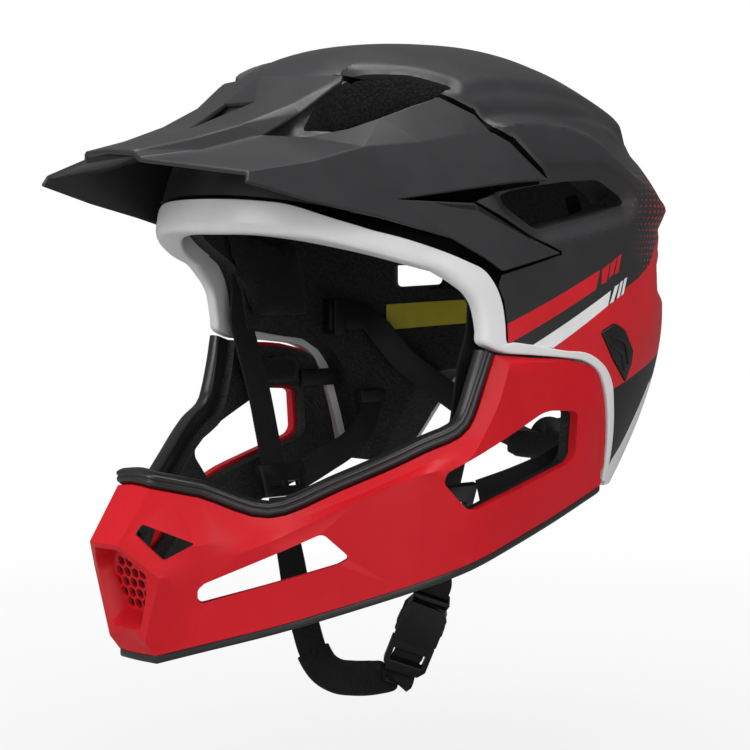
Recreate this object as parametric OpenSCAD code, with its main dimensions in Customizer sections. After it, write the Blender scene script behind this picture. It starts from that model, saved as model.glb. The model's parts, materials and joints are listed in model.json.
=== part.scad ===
// Full-face mountain bike helmet with a visor and a chin bar that comes off.
// +X is the wearer's left, -Y the front and +Z up. The origin is the centre of the head at ear level.

/* [Shell] */
// Width of the outer shell
shell_w = 224; // [218:1:232]
// Reach of the shell from its widest section to the brow
shell_front = 158; // [154:1:164]
// Reach of the shell from its widest section to the back of the head
shell_rear = 107; // [104:1:112]
// Height of the crown above the widest section
crown_h = 132; // [128:1:138]
// Thickness of the hard shell
shell_t = 2.2; // [1.6:0.2:3]

/* [Liner] */
// Thickness of the foam at the sides
foam_side = 17.8; // [15.8:0.5:19.8]
// Thickness of the foam at the brow
foam_front = 15.8; // [13.8:0.5:17.8]
// Thickness of the foam at the back
foam_rear = 22.8; // [20.8:0.5:24.8]
// Thickness of the foam at the crown
foam_top = 25.8; // [22.8:0.5:28.8]
// Slope of the vent walls, as widening over depth
vent_flare = 0.8; // [0.4:0.1:1]

/* [Face trim] */
// Depth of the rim from the shell's surface inwards
trim_depth = 13; // [11:0.5:14]
// Height of the rim above the shell's surface
trim_proud = 0.8; // [0.4:0.1:1.2]
// Gap between the rim and its neighbours
trim_gap = 0.3; // [0.2:0.05:0.4]

/* [Visor] */
// Thickness of the visor
visor_t = 2.4; // [2:0.2:3]
// Clearance between the visor and the shell
visor_gap = 0.4; // [0.3:0.1:0.6]
// Travel of the visor up and forward
visor_travel = 12; // [6:1:12]
// Diameter of the visor's pegs
peg_d = 6; // [5:0.5:7]

/* [Chin bar] */
// Thickness of the chin bar's wall
bar_t = 5; // [4:0.5:6]
// Thickness of the foam in the chin bar's arms
arm_foam = 8; // [6:0.5:9]
// Thickness of the foam behind the mouth
mouth_foam = 12; // [10:0.5:13]
// Height of the rubber bead on the upper edge
bead_h = 8; // [6:0.5:9]
// Width of the rubber bead on the upper edge
bead_w = 7.5; // [6:0.5:9]
// Height of the bead under the lower edge
hem_h = 4; // [3:0.5:5]
// Depth of the mouth vent
vent_depth = 11; // [9:0.5:12]
// Thickness of the honeycomb plate
comb_t = 3; // [2:0.5:4]
// Distance between two cells of the honeycomb
comb_pitch = 8.4; // [8:0.2:9.4]
// Width of the honeycomb's ribs
comb_rib = 1.4; // [1:0.2:2]
// Thickness of the cheek pads
cheek_t = 7.5; // [6:0.5:8]

/* [Latches] */
// Thickness of the latch tongue
tongue_t = 4.5; // [4:0.25:5]
// Height of the latch tongue
tongue_h = 9; // [7:0.5:10]
// Reach of the tongue behind the chin bar
tongue_len = 22; // [19:0.5:22]
// Thickness of the release button
button_t = 5; // [4:0.25:5.5]
// Travel of the release button
button_travel = 3; // [2:0.25:3]
// Diameter of the button's spring
spring_d = 8; // [6:0.5:9]
// Wire of the button's spring
spring_wire = 0.9; // [0.7:0.1:1.2]

/* [Fit system] */
// Width of the fit bands
band_w = 14; // [12:0.5:15]
// Thickness of the fit bands
band_t = 1.8; // [1.4:0.2:2.2]
// Diameter of the fit dial
dial_d = 30; // [26:1:34]
// Thickness of the fit dial
dial_t = 11; // [9:0.5:13]
// Diameter of the dial's axle
axle_d = 6; // [5:0.5:7]

/* [Pads] */
// Thickness of the temple pads
temple_t = 9; // [7:0.5:10]
// Thickness of the brow pad
brow_t = 8; // [6:0.5:9]
// Thickness of the crown and rear pads
crown_t = 7; // [5:0.5:9]
// Thickness of the nape pad
nape_t = 6; // [4:0.5:7]

/* [Straps] */
// Width of the webbing
web_w = 15; // [14:0.5:16]
// Thickness of the webbing
web_t = 1.6; // [1.4:0.1:1.8]
// Thickness of the chin strap's padded sleeve
sleeve_t = 6; // [5:0.5:8]
// Width of the chin strap's padded sleeve
sleeve_w = 18; // [17.5:0.5:22]
// Width of the buckle
buckle_w = 22; // [21:0.5:24]
// Thickness of the buckle
buckle_t = 9; // [8.5:0.5:10]
// Length of the female half
female_len = 28; // [28:0.5:32]
// Length of the male half outside the female one
male_len = 18.5; // [18:0.5:20]

/* [Hidden] */

eps = 0.01;
crown_z = 35;
side_power = 2.3;
crown_power = 2.45;
mid = 25;
slim = 0.1;
tuck = 1.887e-4;
fold_z = 30;
far = 300;

// Half width, front reach, rear reach and crown height of each layer
outer = [shell_w / 2, shell_front, shell_rear, crown_h];
inner = [for (v = outer) v - shell_t];
cavity = inner - [foam_side, foam_front, foam_rear, foam_top];
function grown(b, d) = [for (v = b) v + d];

// The helmet on which the outline points below were measured
measured = [112, 158, 107, 132];
function at(p) = [
    p[0] * outer[0] / measured[0],
    mid + (p[1] - mid) * (p[1] < mid ? outer[1] / measured[1] : outer[2] / measured[2]),
    p[2] > crown_z ? crown_z + (p[2] - crown_z) * outer[3] / measured[3] : p[2]];
function at_yz(p) = let (q = at([0, p[0], p[1]])) [q[1], q[2]];
function at_xz(p) = let (q = at([p[0], 0, p[1]])) [q[0], q[2]];

function mirrored(p) = [-p[0], p[1], p[2]];
function unit(v) = v / norm(v);
function mix(a, b, t) = a + (b - a) * t;
function reversed(l) = [for (i = [len(l) - 1 : -1 : 0]) l[i]];
module both() {
    children();
    mirror([1, 0, 0]) children();
}

// The shell's surface: superellipse sections that shrink towards the crown and tuck in at the nape
function rise(z, h) = min(1, max(0, (z - crown_z) / h));
function girth(z, h) = z > crown_z
    ? pow(1 - pow(rise(z, h), crown_power), 1 / crown_power)
    : 1 - slim * pow((crown_z - z) / 90, 2);
function back_girth(z, h) = z > fold_z ? girth(z, h) : 1 - tuck * pow(fold_z - z, 1.75);
function mid_y(z, h) = mid * (1 - pow(rise(z, h), 3));
function reach(b, rear, z) = rear ? b[2] * back_girth(z, b[3]) : b[1] * girth(z, b[3]);
function side_x(b, y, z) = let (dy = y - mid_y(z, b[3]), s = abs(dy) / reach(b, dy > 0, z))
    b[0] * girth(z, b[3]) * pow(max(0, 1 - pow(s, side_power)), 1 / side_power);
function front_y(b, x, z) = let (s = abs(x) / (b[0] * girth(z, b[3])))
    mid_y(z, b[3]) - reach(b, false, z) * pow(max(0, 1 - pow(s, side_power)), 1 / side_power);
function ring_point(b, angle, z) = let (
        s = sin(angle),
        c = cos(angle),
        r = pow(pow(abs(s) / (b[0] * girth(z, b[3])), side_power)
            + pow(abs(c) / reach(b, c < 0, z), side_power), -1 / side_power))
    [r * s, mid_y(z, b[3]) - r * c, z];
function top_z(b, x, y, z, n) = n == 0 ? z : let (
        dy = y - mid_y(z, b[3]),
        k = pow(pow(abs(x) / b[0], side_power)
            + pow(abs(dy) / (dy > 0 ? b[2] : b[1]), side_power), 1 / side_power))
    top_z(b, x, y, crown_z + b[3] * pow(max(0, 1 - pow(k, crown_power)), 1 / crown_power), n - 1);

// Closed solids from grids of points; rows run down and columns to the right, as seen from outside
function cells(rows, cols, o, flip) = [for (r = [0 : rows - 2], c = [0 : cols - 2])
    let (a = o + r * cols + c, b = a + 1, d = b + cols, e = a + cols)
    each flip ? [[a, d, b], [a, e, d]] : [[a, b, d], [a, d, e]]];
function wall(p, q) = [for (i = [0 : len(p) - 2]) each [[p[i], q[i], q[i + 1]], [p[i], q[i + 1], p[i + 1]]]];
module slab(front, back, flip = false) {
    rows = len(front);
    cols = len(front[0]);
    n = rows * cols;
    top = [for (c = [0 : cols - 1]) c];
    bottom = [for (c = [cols - 1 : -1 : 0]) (rows - 1) * cols + c];
    left = [for (r = [rows - 1 : -1 : 0]) r * cols];
    right = [for (r = [0 : rows - 1]) r * cols + cols - 1];
    faces = concat(cells(rows, cols, 0, false), cells(rows, cols, n, true),
        wall(top, [for (v = top) v + n]), wall(right, [for (v = right) v + n]),
        wall(bottom, [for (v = bottom) v + n]), wall(left, [for (v = left) v + n]));
    points = concat([for (r = front) each r], [for (r = back) each r]);
    polyhedron(points, flip ? [for (f = faces) reversed(f)] : faces);
}

// A tube through sections whose points run clockwise as seen along the way
function skin(count, m, o) = [for (i = [0 : count - 2], k = [0 : m - 1])
    let (a = o + i * m + k, b = o + i * m + (k + 1) % m, e = a + m, d = b + m) each [[a, e, d], [a, d, b]]];
module tube(sections) {
    m = len(sections[0]);
    count = len(sections);
    polyhedron([for (s = sections) each s], concat(skin(count, m, 0),
        [[for (k = [0 : m - 1]) k], [for (k = [m - 1 : -1 : 0]) (count - 1) * m + k]]));
}
module sleeve(outside, inside) {
    m = len(outside[0]);
    count = len(outside);
    n = m * count;
    last = (count - 1) * m;
    polyhedron(concat([for (s = outside) each s], [for (s = inside) each s]),
        concat(skin(count, m, 0), [for (f = skin(count, m, n)) reversed(f)],
            [for (k = [0 : m - 1]) let (j = (k + 1) % m) each [[k, j, j + n], [k, j + n, k + n]]],
            [for (k = [0 : m - 1]) let (j = (k + 1) % m)
                each [[last + j, last + k, last + k + n], [last + j, last + k + n, last + j + n]]]));
}

// Sections of a flat band along points with their width directions
function way(path, i) = unit(path[min(i + 1, len(path) - 1)][0] - path[max(i - 1, 0)][0]);
function across(path, i) = let (t = way(path, i), w = path[i][1]) unit(w - t * (w * t));
function band(path, w, t) = [for (i = [0 : len(path) - 1])
    let (a = across(path, i) * w / 2, n = cross(way(path, i), across(path, i)) * t / 2, p = path[i][0])
    [p + a - n, p + a + n, p - a + n, p - a - n]];
function cushion(path, i, w, t, flat, edge) =
    let (a = across(path, i) * w / 2, n = cross(way(path, i), across(path, i)) * t / 2, p = path[i][0])
    [p + a * flat - n, p + a - n * edge, p + a + n * edge, p + a * flat + n,
        p - a * flat + n, p - a + n * edge, p - a - n * edge, p - a * flat - n];

// The closed dome of one layer
low_z = [-62, -38, -17, 10];
crown_steps = [0, 5.5, 12, 22.5, 32.5, 41.5, 52, 62, 73, 81];
module dome(b, seg = 64) {
    zs = concat(low_z, [for (f = crown_steps) crown_z + b[3] * pow(sin(f), 2 / crown_power)]);
    rows = len(zs);
    points = concat([for (z = zs) each [for (i = [0 : seg - 1]) ring_point(b, i * 360 / seg, z)]],
        [[0, 0, crown_z + b[3]]]);
    function id(r, i) = r * seg + i % seg;
    polyhedron(points, concat(
        [[for (i = [0 : seg - 1]) i]],
        [for (r = [0 : rows - 2], i = [0 : seg - 1])
            each [[id(r + 1, i), id(r + 1, i + 1), id(r, i + 1)], [id(r + 1, i), id(r, i + 1), id(r, i)]]],
        [for (i = [0 : seg - 1]) [rows * seg, id(rows - 1, i + 1), id(rows - 1, i)]]));
}

// Side view of the face opening: where the shell ends, and the rim's inner edge
edge_out = [for (p = [[-150, 91], [-133, 89.5], [-125, 88], [-118, 86], [-108, 80], [-94, 74], [-81, 70],
    [-68, 65], [-53, 59], [-45, 55], [-40, 49], [-36, 40], [-34, 29], [-33, 21], [-16, 19], [2, 16],
    [20, 13.5], [31, 7], [37, -1], [40, -12], [43, -29], [44, -41], [44.5, -53]]) at_yz(p)];
edge_in = [for (p = [[-150, 73], [-128, 72], [-115, 71], [-102, 65], [-87, 58], [-63, 49]]) at_yz(p)];

// The rim's outer and inner edge at the brow, as x and z, and down the side, as y and z
rim_brow = [for (s = [[[0, 89], [0, 72.5]], [[22, 88.5], [22, 72.5]], [[35, 87.5], [33, 72.4]],
    [[46, 86], [43, 72]], [[54, 84], [50, 71.2]], [[61, 81.5], [57, 70]], [[68, 79], [64, 68]],
    [[74, 76], [70, 66.4]], [[80, 73.5], [76, 64]], [[85, 71.5], [82, 61]], [[90, 69], [88, 57.5]]])
    [at_xz(s[0]), at_xz(s[1])]];
rim_side = [for (s = [[[-66, 64.5], [-66, 51]], [[-53, 59], [-60, 45]], [[-45, 55], [-56, 40]],
    [[-40, 49], [-54, 36]], [[-36, 40], [-52.5, 30]], [[-34, 29], [-51, 25]], [[-33, 21], [-50, 20.5]],
    [[-29, 20.8], [-40, 17]], [[-16, 19], [-18, 14.5]], [[2, 16], [1, 12.7]], [[20, 13.5], [18, 9.8]],
    [[31, 7], [27, 4.5]], [[37, -1], [32, -3.5]], [[40, -12], [35, -12.5]], [[43, -29], [38.5, -29]],
    [[44, -41], [40, -41]], [[44.5, -51], [40.5, -50]]]) [at_yz(s[0]), at_yz(s[1])]];
function on_edge(b, x, z, edge, n) = n == 0 ? [x, front_y(b, x, z), z]
    : on_edge(b, x, lookup(front_y(b, x, z), edge), edge, n - 1);
rim_face = grown(outer, trim_proud);
rim_back = grown(outer, -trim_depth);
rim_ease = [0, 0, 0.35];
function brow_section(p, q) =
    [on_edge(rim_face, p[0], p[1], edge_out, 4) - rim_ease, on_edge(rim_face, q[0], q[1], edge_in, 4),
        on_edge(rim_back, q[0], q[1], edge_in, 4), on_edge(rim_back, p[0], p[1], edge_out, 4) - rim_ease];
function side_section(p, q) =
    [[side_x(rim_face, p[0], p[1]), p[0], p[1]], [side_x(rim_face, q[0], q[1]), q[0], q[1]],
        [side_x(rim_back, q[0], q[1]), q[0], q[1]], [side_x(rim_back, p[0], p[1]), p[0], p[1]]];
module rim() {
    half = concat([for (s = rim_brow) brow_section(s[0], s[1])],
        [for (s = rim_side) side_section(s[0], s[1])]);
    other = [for (i = [len(half) - 1 : -1 : 1]) [for (p = half[i]) mirrored(p)]];
    tube(concat(other, half));
}
module face_cut() {
    low = at_yz([130, -34]);
    rotate([90, 0, 90]) linear_extrude(far, center = true) offset(delta = trim_gap)
        polygon(concat([[-far, edge_out[0][1]]], edge_out, [low, [far, low[1]], [far, -far], [-far, -far]]));
}
nape = [for (p = [[74, -60], [72, -30], [68, -10], [58, -4], [30, -2]]) at_xz(p)];
module nape_cut() {
    translate([0, at([0, 44, 0])[1], 0]) rotate([90, 0, 180]) linear_extrude(far)
        polygon(concat([[nape[0][0], -far]], nape, [for (p = reversed(nape)) [-p[0], p[1]]],
            [[-nape[0][0], -far]]));
}

// Vents: each widens outwards from its opening
module points_hull(points) {
    hull() polyhedron(points, [[for (i = [0 : len(points) - 1]) i]]);
}
vent_heart = [0, -20, 40];
module flared(corners) {
    p = [for (c = corners) at(c)];
    c = at(vent_heart);
    points_hull(concat([for (q = p) mix(c, q, 1.25)], [for (q = p) mix(c, q, 0.6)]));
}
side_vent = [for (p = [[-29, 90], [-22, 92.5], [-5, 95], [12, 97], [37, 98], [45, 94], [52, 90], [54.5, 86],
    [32, 81], [7, 77], [-8, 74], [-12, 75], [-21, 81], [-27, 86]]) at_yz(p)];
side_vent_x = 99;
side_vent_deep = 60;
side_vent_high = 118;
module side_vents() {
    x = at([side_vent_x, 0, 0])[0];
    rise_x = at([side_vent_high, 0, 0])[0] - x;
    both() {
        translate([x, 0, 0]) rotate([90, 0, 90]) hull() {
            linear_extrude(eps) polygon(side_vent);
            translate([0, 0, rise_x]) linear_extrude(eps)
                offset(delta = rise_x * vent_flare) polygon(side_vent);
        }
        translate([side_vent_deep, 0, 0]) rotate([90, 0, 90])
            linear_extrude(x - side_vent_deep + eps) polygon(side_vent);
    }
}
top_vent = [[40, -88, 140], [45, -75, 147], [61, -52, 146], [74, -36, 140], [72, -60, 132], [60, -92, 120],
    [42, -106, 122]];
rear_side_vent = [[97, 85, 41], [97, 85, 56], [76, 110, 56], [76, 110, 43]];
crown_vent = [[16, 30, 165], [34, 26, 162], [38, 74, 145], [18, 80, 145]];
back_vent = [[20, 122, 84], [46, 116, 86], [50, 108, 106], [24, 116, 104]];
module vents() {
    side_vents();
    both() {
        flared(top_vent);
        flared(rear_side_vent);
        flared(crown_vent);
        flared(back_vent);
    }
}

// The release button's outline and what sits behind it
leaf = [for (p = [[27, 24], [37, 28], [45.5, 24], [53, 14], [52, 7], [48, -1], [37, 10]]) at_yz(p)];
leaf_mid = at_yz([42, 15]);
button_gap = 0.5;
button_proud = 0.9;
button_back = side_x(outer, leaf_mid[0], leaf_mid[1]) + button_proud - button_t;
spring_seat = button_back - 10;
module leaf_cut(x, gap) {
    translate([x, 0, 0]) rotate([90, 0, 90]) linear_extrude(far) offset(delta = gap) polygon(leaf);
}
module spring_hole(gap) {
    translate([spring_seat - gap, leaf_mid[0], leaf_mid[1]]) rotate([0, 90, 0])
        cylinder(h = 30, d = spring_d + 2 * gap, $fn = 32);
}

// The latch: a tongue on the chin bar that runs into a housing behind the rim. The bar's arms are flat
// from arm_x inwards, where the tongue stands proud of the foam and its foot is rooted
arm_x = at([109, 0, 0])[0];
tongue_stand = 1.5;
root_sink = 0.2;
latch_x = arm_x - bar_t - arm_foam - tongue_stand;
latch_root_x = arm_x - bar_t + root_sink;
latch_z = -7.5;
tongue_front = at([0, 12, 0])[1];
tongue_root = at([0, 34, 0])[1];
housing_front = at([0, 43, 0])[1];
housing_wall = 2;
housing_clear = 0.4;
module latch_block(x0, x1, y0, y1, z0, z1) {
    translate([x0, y0, z0]) cube([x1 - x0, y1 - y0, z1 - z0]);
}
module tongue_way(gap) {
    latch_block(latch_x - gap - far / 4, latch_x + tongue_t + gap, tongue_front - gap,
        tongue_root + tongue_len + gap, latch_z - tongue_h / 2 - gap, latch_z + tongue_h / 2 + gap);
}
module tongue_foot(gap) {
    latch_block(latch_x - gap, latch_root_x + gap, tongue_front - gap, tongue_root - 8 + gap,
        latch_z - tongue_h / 2 - gap, latch_z + tongue_h / 2 + gap);
}
module housing_space(gap) {
    w = housing_clear + housing_wall + gap;
    latch_block(latch_x - w, latch_x + tongue_t + w, housing_front - gap, tongue_root + tongue_len + w,
        latch_z - tongue_h / 2 - w, latch_z + tongue_h / 2 + w);
}

// The visor's slide and its pegs
slide_lean = 30.2;
peg_at = at([0, -27, 70]);
peg_x = side_x(outer, peg_at[1], peg_at[2]);
peg_gap = 0.4;
peg_head_d = peg_d + 3.5;
socket_t = 2;
socket_w = peg_d + 7;
module slot(w, length, x, h) {
    translate([x, peg_at[1], peg_at[2]]) rotate([slide_lean, 0, 0])
        translate([0, -w / 2, -w / 2]) cube([h, w, length + w]);
}
socket_x = side_x(inner, peg_at[1], peg_at[2] + visor_travel) - 6;
module socket_space(gap) {
    slot(socket_w + 2 * gap, visor_travel, socket_x - gap, far);
}

// Places where the straps are held in the foam
front_anchor_yz = at_yz([-34, 56.5]);
anchor_sink = 3.8;
front_anchor = [side_x(cavity, front_anchor_yz[0], front_anchor_yz[1]) + anchor_sink,
    front_anchor_yz[0], front_anchor_yz[1]];
rear_anchor = at([81, 50, -18]);
anchor_size = [5, 17, 7];
module anchor_space(p, gap) {
    translate(p) translate([-anchor_size[0] / 2 - gap, -anchor_size[1] / 2 - gap, -anchor_size[2] / 2 - gap])
        cube(anchor_size + [2 * gap, 2 * gap, 2 * gap]);
}
module anchor_spaces() {
    anchor_space(front_anchor, 0.2);
    translate([front_anchor[0] - 20, front_anchor[1] - 9, 0]) cube([22, 18, front_anchor[2]]);
    anchor_space(rear_anchor, 0.2);
    translate([rear_anchor[0] - 20, rear_anchor[1] - 9, rear_anchor[2] - 26]) cube([22, 18, 26]);
}

module shell() {
    color("white") difference() {
        dome(outer);
        dome(inner);
        face_cut();
        nape_cut();
        vents();
        both() {
            leaf_cut(50, button_gap);
            slot(peg_d + 2 * peg_gap, visor_travel, 50, 80);
        }
    }
}
module liner() {
    color("dimgray") difference() {
        dome(inner);
        dome(cavity, 48);
        face_cut();
        nape_cut();
        vents();
        both() {
            leaf_cut(button_back - button_travel - 1.5, button_gap + 0.5);
            spring_hole(0.4);
            tongue_way(1);
            housing_space(0.1);
            socket_space(0.2);
            slot(peg_head_d + 2 * peg_gap, visor_travel, socket_x - 3.4, 20);
            anchor_spaces();
        }
    }
}
module face_trim() {
    color("white") difference() {
        rim();
        both() tongue_way(0.5);
    }
}

// Pads on the cavity's wall, with a crowned front
function bulge(u, v) = sqrt(max(0, 1 - pow(abs(2 * u - 1), 4))) * sqrt(max(0, 1 - pow(abs(2 * v - 1), 4)));
pad_gap = 0.9;
pad_edge = 0.35;
module wall_pad(corners, t, rows, cols) {
    function place(u, v) = mix(mix(corners[0], corners[1], v), mix(corners[3], corners[2], v), u);
    function point(u, v, d) = let (p = place(u, v)) ring_point(grown(cavity, -d), p[0], p[1]);
    near = [for (r = [0 : rows]) [for (c = [0 : cols]) let (u = r / rows, v = c / cols)
        point(u, v, pad_gap + t * (pad_edge + (1 - pad_edge) * bulge(u, v)))]];
    back = [for (r = [0 : rows]) [for (c = [0 : cols]) point(r / rows, c / cols, pad_gap)]];
    slab(near, back, true);
}
module top_pad(x0, x1, y0, y1, t, rows, cols) {
    function point(u, v, d) = let (x = mix(x0, x1, v), y = mix(y0, y1, u), b = grown(cavity, -d))
        [x, y, top_z(b, x, y, crown_z + b[3], 5)];
    near = [for (r = [0 : rows]) [for (c = [0 : cols]) let (u = r / rows, v = c / cols)
        point(u, v, pad_gap + t * (pad_edge + (1 - pad_edge) * bulge(u, v)))]];
    back = [for (r = [0 : rows]) [for (c = [0 : cols]) point(r / rows, c / cols, pad_gap)]];
    slab(near, back);
}
module brow_pad() {
    color("black") wall_pad([[-36, 108], [36, 108], [36, 84], [-36, 84]], brow_t, 5, 16);
}
module temple_pads() {
    color("black") both() wall_pad([[40, 75], [76, 65], [81, 26], [56, 27]], temple_t, 8, 10);
}
module crown_pads() {
    color("black") {
        top_pad(-11, 11, -45, 55, crown_t, 12, 4);
        both() top_pad(28, 50, -30, 45, crown_t, 10, 4);
    }
}
module rear_pads() {
    color("black") both() wall_pad([[128, 66], [162, 66], [162, 34], [122, 40]], crown_t, 6, 8);
}
module label() {
    color("white") mirror([1, 0, 0])
        wall_pad([[114.8, 31.8], [143.5, 34.6], [143.5, 21.6], [114.8, 17.6]], 0.5, 3, 8);
}

module latch_housings() {
    color("dimgray") both() difference() {
        housing_space(0);
        latch_block(latch_x - housing_clear, latch_x + tongue_t + housing_clear, housing_front - 1,
            tongue_root + tongue_len + housing_clear, latch_z - tongue_h / 2 - housing_clear,
            latch_z + tongue_h / 2 + housing_clear);
    }
}
module visor_sockets() {
    color("dimgray") both() difference() {
        slot(socket_w, visor_travel, socket_x, socket_t);
        slot(peg_d + 2 * peg_gap, visor_travel, socket_x - 1, socket_t + 2);
    }
}
module strap_anchors() {
    color("dimgray") both() {
        anchor_space(front_anchor, 0);
        anchor_space(rear_anchor, 0);
    }
}

// The visor: its outer faces as triangles of named corners, thickened towards the head
visor_heart = [0, -90, 20];
visor_points = [[0, -186, 111], [19, -185, 110], [0, -159, 117.5], [25, -158, 115.5], [0, -138, 121.5],
    [31, -131, 123], [11, -103, 134.5], [37, -104, 133.5], [0, -90, 148], [43, -77, 147],
    [22, -183, 106.5], [28, -152, 110.5], [36, -122, 118], [40, -101, 128.5], [44.5, -79, 143.5],
    [78, -166, 100], [80, -133, 104.5], [81, -100, 112], [83, -67, 119.5], [86.3, -34.6, 128.3],
    [50, -109, 117], [61.5, -91, 121], [68.5, -78, 126], [73, -62, 132], [76.2, -47.9, 136.5],
    [81.9, -40.9, 132.1], [80, -168, 95.5], [86.5, -135, 87], [93.5, -101, 80], [100, -62, 70],
    [104.9, -44.8, 60.7], [107.5, -36, 54.5], [111.7, -1.9, 62.7], [91.9, -87.9, 88], [100.4, -47.5, 86.3],
    [103, -24.4, 96.3], [92.3, -29.9, 120], [96.4, -21, 115], [101.5, -12.7, 105.6], [105.1, -4.2, 97.5],
    [109.1, -19.7, 69.9], [88.5, -43, 119], [-11, -103, 134.5]];
visor_spine = [[0, 1, 3], [0, 3, 2], [2, 3, 5], [2, 5, 4], [4, 5, 7], [4, 7, 6], [6, 7, 9], [6, 9, 8],
    [6, 8, 42]];
visor_step = [[1, 10, 11], [1, 11, 3], [3, 11, 12], [3, 12, 5], [5, 12, 13], [5, 13, 7], [7, 13, 14],
    [7, 14, 9]];
visor_wing = [[10, 15, 16], [10, 16, 11], [11, 16, 12], [12, 16, 20], [20, 16, 17], [20, 17, 21],
    [21, 17, 22], [22, 17, 18], [22, 18, 23], [23, 18, 24], [24, 18, 25], [25, 18, 41], [25, 41, 19]];
visor_side = [[15, 26, 27], [15, 27, 16], [16, 27, 28], [16, 28, 17], [17, 28, 33], [28, 29, 33],
    [33, 29, 34], [29, 30, 34], [30, 31, 34], [31, 40, 34], [31, 32, 40], [17, 33, 18], [33, 34, 35],
    [33, 35, 18], [18, 35, 41], [41, 35, 36], [35, 37, 36], [35, 38, 37], [35, 39, 38], [41, 36, 19]];
// A corner that would lie in the shell moves out until the visor's full thickness clears it
visor_room = grown(outer, visor_t + visor_gap);
function fullness(p) = let (dy = p[1] - mid_y(p[2], visor_room[3]))
    p[2] >= crown_z + visor_room[3] - 1 ? 2
    : pow(pow(abs(p[0]) / (visor_room[0] * girth(p[2], visor_room[3])), side_power)
        + pow(abs(dy) / reach(visor_room, dy > 0, p[2]), side_power), 1 / side_power);
function lifted(p) = let (k = max(0.05, fullness(p)), c = mid_y(p[2], visor_room[3]))
    k >= 1 ? p : [p[0] / k, c + (p[1] - c) / k, p[2]];
module visor_facet(a, b, c) {
    p = [for (q = [a, b, c]) lifted(q)];
    h = at(visor_heart);
    points_hull(concat(p, [for (q = p) q + unit(h - q) * visor_t]));
}
module visor() {
    color("firebrick") difference() {
        both() for (t = concat(visor_spine, visor_step, visor_wing, visor_side)) {
            p = [for (i = t) at(visor_points[i])];
            m = [(p[0] + p[1]) / 2, (p[1] + p[2]) / 2, (p[2] + p[0]) / 2];
            visor_facet(p[0], m[0], m[2]);
            visor_facet(m[0], p[1], m[1]);
            visor_facet(m[2], m[1], p[2]);
            visor_facet(m[0], m[1], m[2]);
        }
        dome(grown(outer, visor_gap));
    }
}
module visor_pegs() {
    color("dimgray") both() {
        translate([socket_x - 2.6, peg_at[1], peg_at[2]]) rotate([0, 90, 0])
            cylinder(h = peg_x + visor_gap - socket_x + 2.2, d = peg_d, $fn = 32);
        translate([socket_x - 2.6, peg_at[1], peg_at[2]]) rotate([0, 90, 0])
            cylinder(h = 2.3, d = peg_head_d, $fn = 32);
    }
}

// The chin bar's rails from its upper to its lower edge, from the middle to the end of the left arm
bar_rails = [
    [[0, -172, -45], [12.5, -171.5, -46], [30, -156, -50], [51, -132, -59.5], [70, -105, -47.5],
        [92, -72, -30.5], [101, -51, -19], [103, -42.5, 1], [104.5, -38, 15], [109, -16, 13], [111, 12, 10],
        [110, 27, 4], [109, 32, -6], [106, 37, -26], [103.2, 38.5, -43]],
    [[0, -189.5, -71], [11, -189, -71], [37, -161.5, -71], [53, -133, -62], [72, -106, -52],
        [94, -72.5, -35], [105.5, -46, -22], [107.8, -38, -6], [108.5, -32, 11], [110.5, -16, 11],
        [111.5, 11, 8], [110.8, 25, 2.5], [109.6, 29.5, -8], [106.6, 34.5, -27], [103.4, 37, -44.5]],
    [[0, -184, -86], [25.5, -176, -86], [36, -160, -80.5], [56, -137, -70], [75, -110, -55],
        [96.5, -78.5, -39.5], [104.5, -56, -34], [107, -44, -20], [108.3, -33, -14], [109.3, -16, -14],
        [110, 10, -14], [109.8, 22, -15], [108.8, 27, -19], [106.4, 31, -30], [103.5, 36, -46]],
    [[0, -176.5, -112], [13.7, -176, -117], [32, -159, -99], [56, -132, -88.5], [75, -105, -79],
        [95, -75, -70.5], [104, -56, -62], [107, -43, -59], [108, -31, -57.5], [108, -16, -54],
        [107.5, 10, -46.5], [107, 21, -43], [106, 26, -42], [105, 31, -41.5], [103.2, 36.5, -48]],
    [[0, -171, -124], [14, -170, -124], [30, -157, -118.5], [54, -130, -109.5], [76, -99, -99],
        [97, -67, -87.5], [102.5, -52, -82.5], [104, -43, -79.5], [105, -38, -77.5], [105.5, -16, -70],
        [105, 10, -61], [104, 27, -55], [103.5, 33, -53], [103, 36.5, -51.5], [102.5, 38, -50]]];
last_j = 14;
function bar_point(i, j) = j < 0 ? mirrored(at(bar_rails[i][-j])) : at(bar_rails[i][j]);
function inward(j) = let (a = bar_point(3, max(-last_j, j - 1)), b = bar_point(3, min(last_j, j + 1)))
    unit([a[1] - b[1], b[0] - a[0], 0]);
function bar_offset(i, j, d) = bar_point(i, j) + inward(j) * d;
foam_gap = 0.15;
function arm_share(j) = min(1, max(0, (abs(j) - 2) / 2));
function foam_at(j) = bar_t + mix(mouth_foam, arm_foam, arm_share(j));
function bar_grid(depth) = [for (i = [0 : 4]) [for (j = [-last_j : last_j]) bar_offset(i, j, depth(j))]];
function upright(j) = let (
        t = unit(bar_point(0, min(8, j + 1)) - bar_point(0, max(-8, j - 1))),
        n = inward(j),
        u = [0, 0, 1] - t * t[2])
    unit(u - n * (u * n));
module bar_layer(near, behind) {
    slab(bar_grid(near), bar_grid(behind));
}

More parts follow.
